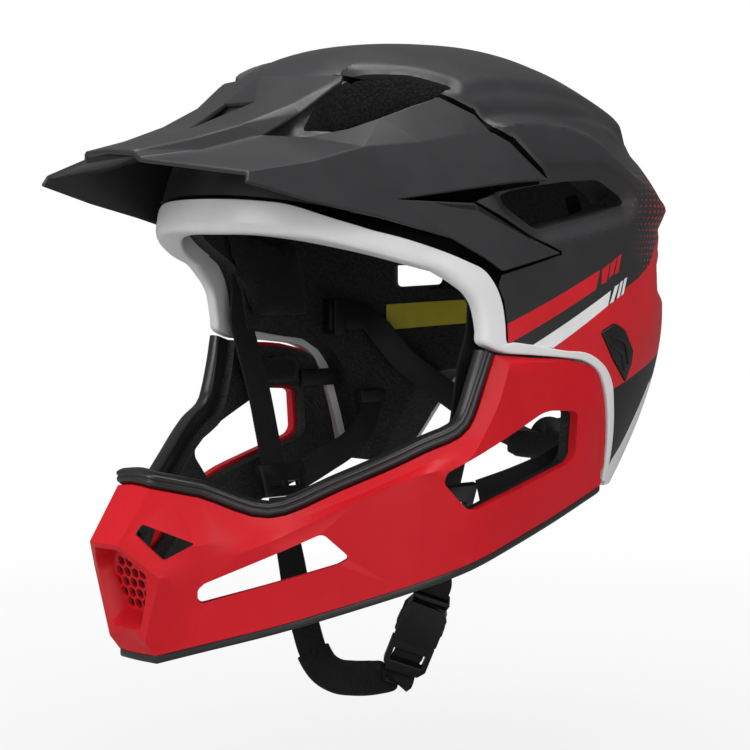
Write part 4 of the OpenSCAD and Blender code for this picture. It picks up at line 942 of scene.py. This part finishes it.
visor = visor_skin("visor_peak")
thicken(visor, visor_wall, even=True)
broken_edges(visor, 0.8, 2, 9)
peak_black = (0.026, 0.026, 0.028)
visor_black, tree, shader, worked = moulded("visor_black", peak_black, 0.42, 0.5, 0.05, 0.06,
                                           Specular_IOR_Level=0.4)
at = node(tree, "TexCoord")
flat = side_on(tree, at.outputs["Object"])[3]
colour = node(tree, "RGB").outputs[0]
colour.default_value = (*peak_black, 1)
# Painted shade: near-black wedges along the fins' top edges, where the steps below them fall in shade
fin_step_shades = ([(-87, 87.4), (-49, 85.2), (-47.5, 81), (-62, 84.4)],
             [(-49, 86.6), (-19.2, 71), (-20.6, 69.4), (-47.5, 82.6)])
for outline in fin_step_shades:
    colour = painted_over(tree, colour, stencil(tree, flat, outline), painted_shade_black)
tree.links.new(colour, worked.inputs["Colour"])
finish_piece(visor, visor_black, "visor", ["visor"], 12)
fitting("visor_pegs", 0.4, "visor")


# Chin bar.
# A satin red guard that sweeps from arm to arm, faceted at the chin, with windows at the cheeks and the jaw.
# Its honeycomb grille sits in a six-sided recess, and black foam lines it all the way round.
bar_rails = np.array((
    ((0, -172, -45), (12.5, -171.5, -46), (30, -156, -50), (51, -132, -59.5), (70, -105, -47.5),
     (92, -72, -30.5), (101, -51, -19), (103, -42.5, 1), (104.5, -38, 15), (109, -16, 13), (111, 12, 10),
     (110, 27, 4), (109, 32, -6), (106, 37, -26), (103.2, 38.5, -43)),
    ((0, -189.5, -71), (11, -189, -71), (37, -161.5, -71), (53, -133, -62), (72, -106, -52),
     (94, -72.5, -35), (105.5, -46, -22), (107.8, -38, -6), (108.5, -32, 11), (110.5, -16, 11),
     (111.5, 11, 8), (110.8, 25, 2.5), (109.6, 29.5, -8), (106.6, 34.5, -27), (103.4, 37, -44.5)),
    ((0, -184, -86), (25.5, -176, -86), (36, -160, -80.5), (56, -137, -70), (75, -110, -55),
     (96.5, -78.5, -39.5), (104.5, -56, -34), (107, -44, -20), (108.3, -33, -14), (109.3, -16, -14),
     (110, 10, -14), (109.8, 22, -15), (108.8, 27, -19), (106.4, 31, -30), (103.5, 36, -46)),
    ((0, -176.5, -112), (13.7, -176, -117), (32, -159, -99), (56, -132, -88.5), (75, -105, -79),
     (95, -75, -70.5), (104, -56, -62), (107, -43, -59), (108, -31, -57.5), (108, -16, -54),
     (107.5, 10, -46.5), (107, 21, -43), (106, 26, -42), (105, 31, -41.5), (103.2, 36.5, -48)),
    ((0, -171, -124), (14, -170, -124), (30, -157, -118.5), (54, -130, -109.5), (76, -99, -99),
     (97, -67, -87.5), (102.5, -52, -82.5), (104, -43, -79.5), (105, -38, -77.5), (105.5, -16, -70),
     (105, 10, -61), (104, 27, -55), (103.5, 33, -53), (103, 36.5, -51.5), (102.5, 38, -50))), float)
bar_wall = 5
foam_gap = 0.15
arm_foam = 8
mouth_foam = 12
rails = np.concatenate((mirrored(bar_rails[:, :0:-1]), bar_rails), 1)
last = 14
column_steps = 4


def bar_inward():
    """Level directions from the outer face towards the head, at each station."""
    middle = rails[3]
    along = np.array([middle[min(i + 1, 2 * last)] - middle[max(i - 1, 0)] for i in range(2 * last + 1)])
    return unit(np.stack((-along[:, 1], along[:, 0], 0 * along[:, 0]), -1))


station = np.linspace(-last, last, 2 * last * column_steps + 1)
bar_lines = np.swapaxes(flowing(np.swapaxes(rails, 0, 1), column_steps, [last + k for k in (-8, -2, -1, 1, 2, 8)]),
                        0, 1)
bar_in = unit(flowing(bar_inward(), column_steps))
arm_share = np.clip((np.abs(station) - 2) / 2, 0, 1)
foam_depth = bar_wall + mouth_foam + (arm_foam - mouth_foam) * arm_share


def slab(name, front, back):
    """A closed block between two grids of points."""
    rows, cols = front.shape[:2]
    deselect()
    bpy.ops.mesh.primitive_grid_add(x_subdivisions=cols - 1, y_subdivisions=rows - 1, size=2)
    obj = bpy.context.object
    obj.name = name
    edit_whole(bpy.ops.mesh.extrude_region_move, TRANSFORM_OT_translate={"value": (0, 0, 1)})
    points = read_points(obj)
    c = np.round((points[:, 0] + 1) / 2 * (cols - 1)).astype(int)
    r = np.round((points[:, 1] + 1) / 2 * (rows - 1)).astype(int)
    write_points(obj, np.where((points[:, 2] > 0.5)[:, None], front[r, c], back[r, c]))
    face_outwards()
    return obj


def bar_layer(name, near, behind, rows=3, arm_drop=0):
    rail = bar_lines.copy()
    rail[0] += (rail[1] - rail[0]) * np.clip(np.abs(station) - 8, 0, 1)[:, None] * arm_drop
    lines = np.array([rail[i] + (rail[i + 1] - rail[i]) * t
                      for i in range(4) for t in np.arange(rows) / rows] + [rail[4]])
    near, behind = (np.broadcast_to(d, len(station))[:, None] for d in (near, behind))
    return slab(name, lines + bar_in * near, lines + bar_in * behind)


window_1 = [(-67.5, -44), (-66, -39), (-11, -13.5), (-5, -12.5), (10, -13.5), (13, -15), (13, -35), (10, -38.5),
            (-39, -53), (-51, -57.5), (-56, -56.5)]
window_2 = [(-46, -97), (-46, -92), (-43, -89), (10, -66.8), (12.5, -67), (23, -76.5), (23.5, -78.5),
            (19, -81), (-44, -98.5)]
window_2_at = np.array((60, -122.5, 0))
window_2_turn = math.radians(52.3)
hole_1 = np.array(((15, -182.6, -65.7), (16.5, -179.7, -61.2), (34.4, -162.2, -70.2), (25.5, -174, -77.9)))
hole_1_way = np.array((-0.7, 0.7, -0.1))
mouth = np.array([(-9, 21.5), (9, 21.5), (24, 8), (11.5, -19), (-11.5, -19), (-24, 8)])
mouth_floor = np.array([(-8, 16), (8, 16), (15, 7), (9, -14), (-9, -14), (-15, 7)])
mouth_at = np.array((0, -182.5, -94))
mouth_tilt = math.radians(15.8)
grille_depth = 11


def mouth_block(grow, near, behind, corner=2.0):
    """A block in the shape of the recess, narrowing from its mouth to its floor."""
    rings = []
    for d in [near] + [d for d in (0, grille_depth) if near < d < behind] + [behind]:
        share = min(max(d / grille_depth, 0), 1)
        outline = rounded(grown_outline(mouth + (mouth_floor - mouth) * share, grow), corner)
        y = d * math.cos(mouth_tilt) - outline[:, 1] * math.sin(mouth_tilt)
        z = d * math.sin(mouth_tilt) + outline[:, 1] * math.cos(mouth_tilt)
        rings.append(mouth_at + np.stack((outline[:, 0], y, z), -1))
    return sweep("mouth_block", rings)


def bar_blocks(grow):
    blocks = []
    side_outline = rounded(grown_outline(window_1, grow), 3)
    jaw_outline = rounded(grown_outline(window_2, grow), 1.3)
    hole = hole_1.mean(0) + (hole_1 - hole_1.mean(0)) * (1 + grow * 0.12)
    hole = rounded(hole, 1.5)
    across = np.array((math.cos(window_2_turn), math.sin(window_2_turn), 0))
    through = np.array((-math.sin(window_2_turn), math.cos(window_2_turn), 0))
    jaw = [window_2_at + jaw_outline[:, :1] * across + d * through + jaw_outline[:, 1:] * (0, 0, 1)
           for d in (-30, 30)]
    nose = [hole + hole_1_way * k for k in (-20, 30)]
    for side in (-1, 1):
        flip = (side, 1, 1)
        blocks.append(side_prism("window_block", side_outline, 60 * side, 140 * side))
        blocks.append(sweep("jaw_block", [p * flip for p in jaw]))
        blocks.append(sweep("nose_block", [p * flip for p in nose]))
    return blocks


bar = bar_layer("chin_bar_guard", 0, bar_wall)
collar = mouth_block(2.4, -20, grille_depth + 2, 3)
combine(collar, [bar_layer("collar_bound", 1, 19)], "INTERSECT")
combine(bar, [collar], "UNION")
combine(bar, bar_blocks(0) + [mouth_block(0, -20, 40)])
broken_edges(bar, 0.7, 2, 38)
satin_red = moulded("satin_red", (0.60, 0.009, 0.017), 0.42, 0.55, 0.03, 0.04,
                                         Specular_IOR_Level=0.2)[0]
finish_piece(bar, satin_red, "chin_bar", ["chin_bar"], 28)
grille = mouth_block(0.8, grille_depth, grille_depth + 2)
grille.name = "honeycomb_grille"
cell_pitch, cell_rib = 6.0, 1.3
cells = []
for row in range(-4, 5):
    for column in range(-4, 5):
        spot = np.array((cell_pitch * (column + 0.5 * (row % 2)), cell_pitch * 0.866 * row))
        if outline_distance(spot[None], mouth_floor)[0] < -0.8:
            deselect()
            bpy.ops.mesh.primitive_cylinder_add(vertices=6, depth=40,
                                                radius=(cell_pitch - cell_rib) / math.sqrt(3))
            cell = bpy.context.object
            cell.data.transform(Matrix.Translation((spot[0], spot[1], 0)))
            cell.data.transform(Matrix.Rotation(math.pi / 2 + mouth_tilt, 4, "X"))
            cell.data.transform(Matrix.Translation(mouth_at))
            cells.append(cell)
combine(grille, cells)
broken_edges(grille, 0.3, 2, 30)
finish_piece(grille, satin_red, "chin_bar", ["mouth_grille"], 30)

lining = bar_layer("chin_foam", bar_wall + foam_gap, foam_depth, arm_drop=0.98)
combine(lining, bar_blocks(1.6) + [mouth_block(2.7, -20, 60)])
finish_piece(lining, foam_black, "chin_bar", ["chin_liner"], 32)

rubber = moulded("edge_rubber", (0.014, 0.014, 0.014), 0.36, 0.4, 0.02, 0.1)[0]
bead_w, bead_h, hem_h = 7.5, 8, 4
first, final = (last - 8) * column_steps, (last + 8) * column_steps + 1
top = bar_lines[0][first:final]
along = unit(np.gradient(top, axis=0))
up = np.array((0, 0, 1)) - along * along[:, 2:]
level = bar_in[first:final]
up -= level * np.sum(up * level, 1)[:, None]
up = unit(up)
profile = rounded([(1.4, 0.2), (bead_w, 0.2), (bead_w, bead_h - 0.8), (bead_w - 2, bead_h), (2.4, bead_h),
                   (-0.4, 6.6), (-0.8, 5), (0.1, 4.3), (-0.6, 3.4), (-0.5, 1.9), (0.7, 0.9)],
                  (0.5, 0.5, 1.5, 1.5, 2, 1, 1, 0.4, 0.8, 0.8, 0.5), 3)


def carried(places, wide, thick, profile):
    """Sections of one profile carried along a line of places."""
    return places[:, None] + wide[:, None] * profile[:, :1] + thick[:, None] * profile[:, 1:]


bead = sweep("upper_edge_bead", carried(top, level, up, profile))
finish_piece(bead, rubber, "chin_bar", ["upper_edge_trim"], 40)
first, final = (last - 13) * column_steps, (last + 13) * column_steps + 1
profile = rounded([(0.2, -0.2), (0.2, -hem_h), (5.8, -hem_h), (5.8, -0.2)], (0.3, 1.8, 1.8, 0.3), 4)
level = bar_in[first:final]
upright = np.zeros_like(level) + (0, 0, 1)
hem = sweep("lower_edge_bead", carried(bar_lines[4][first:final], level, upright, profile))
finish_piece(hem, rubber, "chin_bar", ["lower_edge_trim"], 40)

steel, tree, shader = new_material("latch_steel", (0.56, 0.56, 0.57), 0.28, Metallic=1.0)
at = node(tree, "TexCoord")
brushed = node(tree, "Mapping", {"Vector": at.outputs["Object"], "Scale": (4000.0, 120.0, 4000.0)})
lines = node(tree, "TexNoise", {"Vector": brushed.outputs[0], "Scale": 1.0, "Detail": 3.0})
gloss = ranged(tree, lines.outputs[0], 0.3, 0.7, 0.22, 0.42)
bump = node(tree, "Bump", {"Height": lines.outputs[0], "Distance": 0.00005, "Strength": 0.4})
tree.links.new(gloss, shader.inputs["Roughness"])
tree.links.new(bump.outputs[0], shader.inputs["Normal"])
coated = moulded("coated_steel", (0.02, 0.02, 0.021), 0.4, 0.3, 0.02, 0.1, Metallic=0.6)[0]
fitting("chin_tongues", 0.4, "chin_bar", coated)


# Release buttons.
# Leaf-shaped keys in a recess each side, with two raised ribs for the thumb; pressed, they free the chin bar.
# A steel coil pushes each one back.
ribs = [[(33.3, 21.6), (40.7, 20.4), (45.6, 18.0), (47.4, 12.3), (48.8, 7.7)],
        [(32.8, 17.9), (38.6, 15.4), (43.3, 13.2), (44.6, 9.1), (45.9, 4.4)]]
button_face = shell_size + 0.9
for name, side in (("release_button_left", 1), ("release_button_right", -1)):
    button = broken_edges(node_copy(name, name + "_key"), 0.6, 2, 40)
    parts = [button]
    for line in ribs:
        path = flowing(line, 6)
        middle = np.stack((side_x(button_face, path[:, 0], path[:, 1]) + 0.1, path[:, 0], path[:, 1]), -1)
        side_way = unit(np.cross(unit(np.gradient(middle, axis=0)), (1, 0, 0)))
        swell = np.sin(np.linspace(0.12, np.pi - 0.12, len(path))) ** 0.5
        turn = np.linspace(0, 2 * np.pi, 9)[:-1]
        ring = (side_way[:, None] * (np.cos(turn) * 1.3)[None, :, None]
                + np.array((1, 0, 0)) * (np.sin(turn) * 0.9)[None, :, None]) * swell[:, None, None]
        parts.append(sweep("rib", (middle[:, None] + ring) * (side, 1, 1)))
    pick(button)
    for part in parts[1:]:
        part.select_set(True)
    bpy.ops.object.join()
    finish_piece(button, nylon, name, [name], 35)

# A coil of steel wire behind each key, wound in turns along x
coil_radius, wire_radius, coil_turns = 3.5, 0.45, 5
coil_from, coil_to, press = 96.7, 106.4, 3.0
coil_y, coil_z = 42, 15
turn = np.linspace(0, 2 * math.pi * coil_turns, coil_turns * 20 + 1)
run = np.linspace(coil_from + wire_radius, coil_to - wire_radius, len(turn))
middle = np.stack((run, coil_y + coil_radius * np.cos(turn), coil_z + coil_radius * np.sin(turn)), -1)
outward = np.stack((0 * turn, np.cos(turn), np.sin(turn)), -1)
round_wire = np.linspace(0, 2 * math.pi, 9)[:-1]
wire = carried(middle, outward, np.zeros_like(outward) + (1, 0, 0),
               np.stack((np.cos(round_wire), np.sin(round_wire)), -1) * wire_radius)
for name, side in (("button_spring_left", 1), ("button_spring_right", -1)):
    coil = sweep(name + "_coil", wire * (side, 1, 1))
    finish_piece(coil, steel, "helmet", [name], 60)
    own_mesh(coil)


# Fit system.
# A thin nylon band runs from temple to temple round the nape, and its dial behind draws it in.
dial_grip = moulded("dial_rubber", (0.015, 0.015, 0.016), 0.55, 0.3, 0.04, 0.1)[0]
fitting("fit_cradle", 0.3, "fit_cradle")
fitting("fit_dial", 0.5, "fit_dial", dial_grip)
fitting("dial_axle", 0.3, "fit_cradle", steel)


# Pads.
# Black mesh fabric over soft foam, hooked into the liner at the brow, temples, crown, rear, cheeks and nape.
# Each is blown up a little by a cloth simulation, so that it is full between its edges.
pad_fabric, tree, shader = new_material("pad_fabric", (0.008, 0.008, 0.009), 0.92, Sheen_Weight=0.08,
                                        Sheen_Roughness=0.5, Specular_IOR_Level=0.2)
at = node(tree, "TexCoord")
mesh_cells = node(tree, "TexVoronoi", {"Vector": at.outputs["Object"], "Scale": 900.0}, feature="F1")
pores = ranged(tree, mesh_cells.outputs["Distance"], 0.15, 0.5, 0.0, 1.0)
dressed(tree, shader, (0.002, 0.002, 0.0025), (0.011, 0.011, 0.012), pores, pores, 0.0003)

cloth_cell, cloth_inset, furthest = 3 * mm, 0.7, 2.0 * mm
cloth_frames, cloth_pressure = 20, 4
pads = []
for name, body in (("brow_pad", "helmet"), ("temple_pads", "helmet"), ("crown_pads", "helmet"),
                   ("rear_pads", "helmet"), ("cheek_pads", "chin_bar"), ("nape_pad", "fit_cradle")):
    pad = node_copy(name, name + "_cloth")
    if name == "rear_pads":
        combine(pad, [vent_block("notch_block", far_vents["rear_side_vent"], side) for side in (-1, 1)])
    pad.data.transform(Matrix.Scale(mm, 4))
    even = pad.modifiers.new("even", "REMESH")
    even.mode = "VOXEL"
    even.voxel_size = cloth_cell
    apply_all(pad)
    points = read_points(pad)
    write_points(pad, points - normals_of(pad) * cloth_inset * mm)
    pads.append((pad, name, body, read_points(pad)))
for pad, name, body, before in pads:
    cloth = pad.modifiers.new("cloth", "CLOTH")
    cloth.settings.use_pressure = True
    cloth.settings.uniform_pressure_force = cloth_pressure
    cloth.settings.effector_weights.gravity = 0
    cloth.point_cache.frame_start = 1
    cloth.point_cache.frame_end = cloth_frames
for step in range(1, cloth_frames + 1):
    bpy.context.scene.frame_set(step)
for pad, name, body, before in pads:
    apply_all(pad)
bpy.context.scene.frame_set(1)
for pad, name, body, before in pads:
    moved = read_points(pad) - before
    far = np.linalg.norm(moved, axis=1)[:, None]
    write_points(pad, before + moved * np.minimum(1, furthest / np.maximum(far, 1e-9)))
    finer = pad.modifiers.new("finer", "SUBSURF")
    finer.levels = finer.render_levels = 1
    apply_all(pad)
    pad.data.transform(Matrix.Scale(1 / mm, 4))
    finish_piece(pad, pad_fabric, body, [name], 80)


# Straps.
# Flat woven webbing held in the foam at four places, led through a divider below each ear and closed by a
# side-release buckle under the chin, with a padded sleeve where it touches the skin.
webbing, tree, shader = new_material("webbing", (0.008, 0.008, 0.009), 0.85, Sheen_Weight=0.06,
                                     Specular_IOR_Level=0.25)
uv = node(tree, "UVMap", uv_map="along")
split = node(tree, "SeparateXYZ", {0: uv.outputs[0]})
waves = [maths(tree, "SINE", maths(tree, "MULTIPLY", way, 2 * math.pi / pitch))
         for way, pitch in ((split.outputs[0], 0.0011), (split.outputs[1], 0.0014))]
weave = ranged(tree, maths(tree, "MULTIPLY", *waves), -1.0, 1.0, 0.0, 1.0)
dressed(tree, shader, (0.006, 0.006, 0.006), (0.013, 0.013, 0.014), weave, weave, 0.00025)

web_w, web_t = 15, 1.6
strap_clear = 0.15
anchor_h = 7
front_anchor = np.array((89.28, -34, 56.5))
rear_anchor = np.array((81, 50, -18.0))
buckle_at = np.array((40.5, -30.5, -129.6))
buckle_turn, buckle_twist = math.radians(28.5), math.radians(48)
buckle_way = np.array((math.sin(buckle_turn), 0, math.cos(buckle_turn)))
buckle_across = np.array((math.cos(buckle_twist) * math.cos(buckle_turn), math.sin(buckle_twist),
                          -math.cos(buckle_twist) * math.sin(buckle_turn)))
female_len, male_len = 28, 18.5
front_route = [(front_anchor - (0, 0, anchor_h / 2 + strap_clear), (0, 1, 0)),
               ((front_anchor[0], front_anchor[1], 40), (0, 1, 0)), ((89, -35, 25), (0, 1, 0)),
               ((84, -35, 11), (0, 1, 0)), ((78.5, -33, -8), (0, 1, 0)), ((71, -32, -36), (0, 1, 0)),
               ((66.9, -32, -49.5), (0, 1, 0)), ((62.6, -32, -62), (0, 1, 0))]
rear_route = [(rear_anchor - (0, 0, anchor_h / 2 + strap_clear), (0, 1, 0)),
              (rear_anchor - (0, 0, 7), (0, 1, -0.2)), (rear_anchor - (0.8, 5, 15), (0, 0.8, -0.6)),
              ((76.5, 32, -42), (0, 0.4, -1)), ((72, 10, -50), (0, 0.3, -1)), ((66.3, -11, -56), (0, 0.2, -1))]
left_route = [((61, -32, -66.5), (0, 1, 0)), ((59, -32, -80), (0.2, 0.95, 0)),
              ((57, -31.5, -93), (0.4, 0.85, -0.2)),
              (buckle_at + buckle_way * (female_len + 6), buckle_across),
              (buckle_at + buckle_way * (female_len + strap_clear), buckle_across)]
chin_route = [((-61, -32, -66.5), (0, 1, 0)), ((-57, -32, -82), (0.1, 1, 0.05)),
              ((-52, -32, -99), (0.25, 0.95, 0.1)), ((-48, -31, -118), (0.45, 0.85, 0.2)),
              ((-42.5, -30, -134), (0.64, 0.71, 0.3)), ((-37, -30, -145), (0.5, 0.6, 0.5)),
              ((-29, -30, -152.5), (0.35, 0.45, 0.75)), ((-18, -30, -155.5), (0.2, 0.25, 0.95)),
              ((-7, -30, -155), (0.05, 0.1, 1)), ((4, -30, -153.5), (-0.1, -0.1, 1)),
              ((14, -30, -151.5), (-0.3, -0.35, 0.85)), ((22, -30.3, -150), (-0.45, -0.5, 0.7)),
              (buckle_at - buckle_way * (male_len + 7), -buckle_across)]
buckle_bar = buckle_at - buckle_way * (male_len - 2.7)
buckle_face = np.cross(buckle_across, buckle_way)
chin_route += [(buckle_bar + buckle_face * out + buckle_way * up, -buckle_across) for out, up in
               ((-3.7, -3.5), (-3.7, 1.5), (-2.4, 4.6), (-0.4, 6.8), (-0.4, 9.6))]


strap_steps = 6


def strap_frame(route):
    """Dense points along a strap with its width and thickness directions."""
    way = flowing([np.concatenate(r) for r in route], strap_steps)
    places, wide = way[:, :3], way[:, 3:]
    along = unit(np.gradient(places, axis=0))
    wide = unit(wide - along * np.sum(wide * along, 1)[:, None])
    return places, wide, np.cross(along, wide)


def lay_along(obj, sections):
    """A map in metres: how far along the piece, and how far round it."""
    steps, count = sections.shape[:2]
    middle = sections.mean(1)
    run = np.concatenate(([0], np.cumsum(np.linalg.norm(np.diff(middle, axis=0), axis=1)))) * mm
    ring = np.linalg.norm(np.roll(sections, -1, 1) - sections, axis=2).mean(0)
    girth_run = np.concatenate(([0], np.cumsum(ring))) * mm
    points = read_points(obj)
    flat = sections.reshape(-1, 3)
    layer = obj.data.uv_layers.new(name="along")
    index = np.linalg.norm(points[:, None] - flat[None], axis=2).argmin(1)
    for face in obj.data.polygons:
        spots = [index[v] for v in face.vertices]
        rounds = [i % count for i in spots]
        wrap = max(rounds) - min(rounds) > count // 2
        for loop, i, k in zip(face.loop_indices, spots, rounds):
            last_side = wrap and k < count // 2 and k + count <= count
            layer.data[loop].uv = (run[i // count], girth_run[k + count if last_side else k])


def strap(name, route, side=1, body="helmet"):
    places, wide, thick = strap_frame(route)
    profile = rounded([(-web_w / 2, -web_t / 2), (web_w / 2, -web_t / 2), (web_w / 2, web_t / 2),
                       (-web_w / 2, web_t / 2)], 0.7, 2)
    sections = carried(places, wide, thick, profile) * (side, 1, 1)
    obj = sweep(name + "_web", sections)
    lay_along(obj, sections)
    return finish_piece(obj, webbing, body, [name], 50)


for name, route in (("front_strap", front_route), ("rear_strap", rear_route)):
    strap(name + "_left", route)
    strap(name + "_right", route, -1)
strap("buckle_webbing_left", left_route)
chin_strap = strap("chin_webbing", chin_route, body=None)

places, wide, thick = strap_frame(chin_route)
sleeve_from, sleeve_to = 5 * strap_steps, 11 * strap_steps
places, wide, thick = (a[sleeve_from:sleeve_to + 1] for a in (places, wide, thick))
share = np.linspace(-1, 1, len(places))
fullness = 1 - 0.35 * np.abs(share) ** 6
profile = rounded([(-9, -0.8), (-7.5, -3), (7.5, -3), (9, -0.8), (9, 0.8), (7.5, 3), (-7.5, 3), (-9, 0.8)], 2, 3)
sections = (places[:, None] + wide[:, None] * profile[:, :1]
            + thick[:, None] * profile[:, 1:] * fullness[:, None, None])
sleeve = sweep("chin_sleeve_pad", sections)
finish_piece(sleeve, pad_fabric, None, ["chin_strap_pad"], 60)
for piece in (chin_strap, sleeve):
    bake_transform(piece)

for name in ("strap_divider_left", "strap_divider_right", "strap_keeper", "buckle_female"):
    fitting(name, 0.5)
for name, width in (("buckle_male", 0.5), ("buckle_prong_front", 0.4), ("buckle_prong_rear", 0.4)):
    fitting(name, width, name)
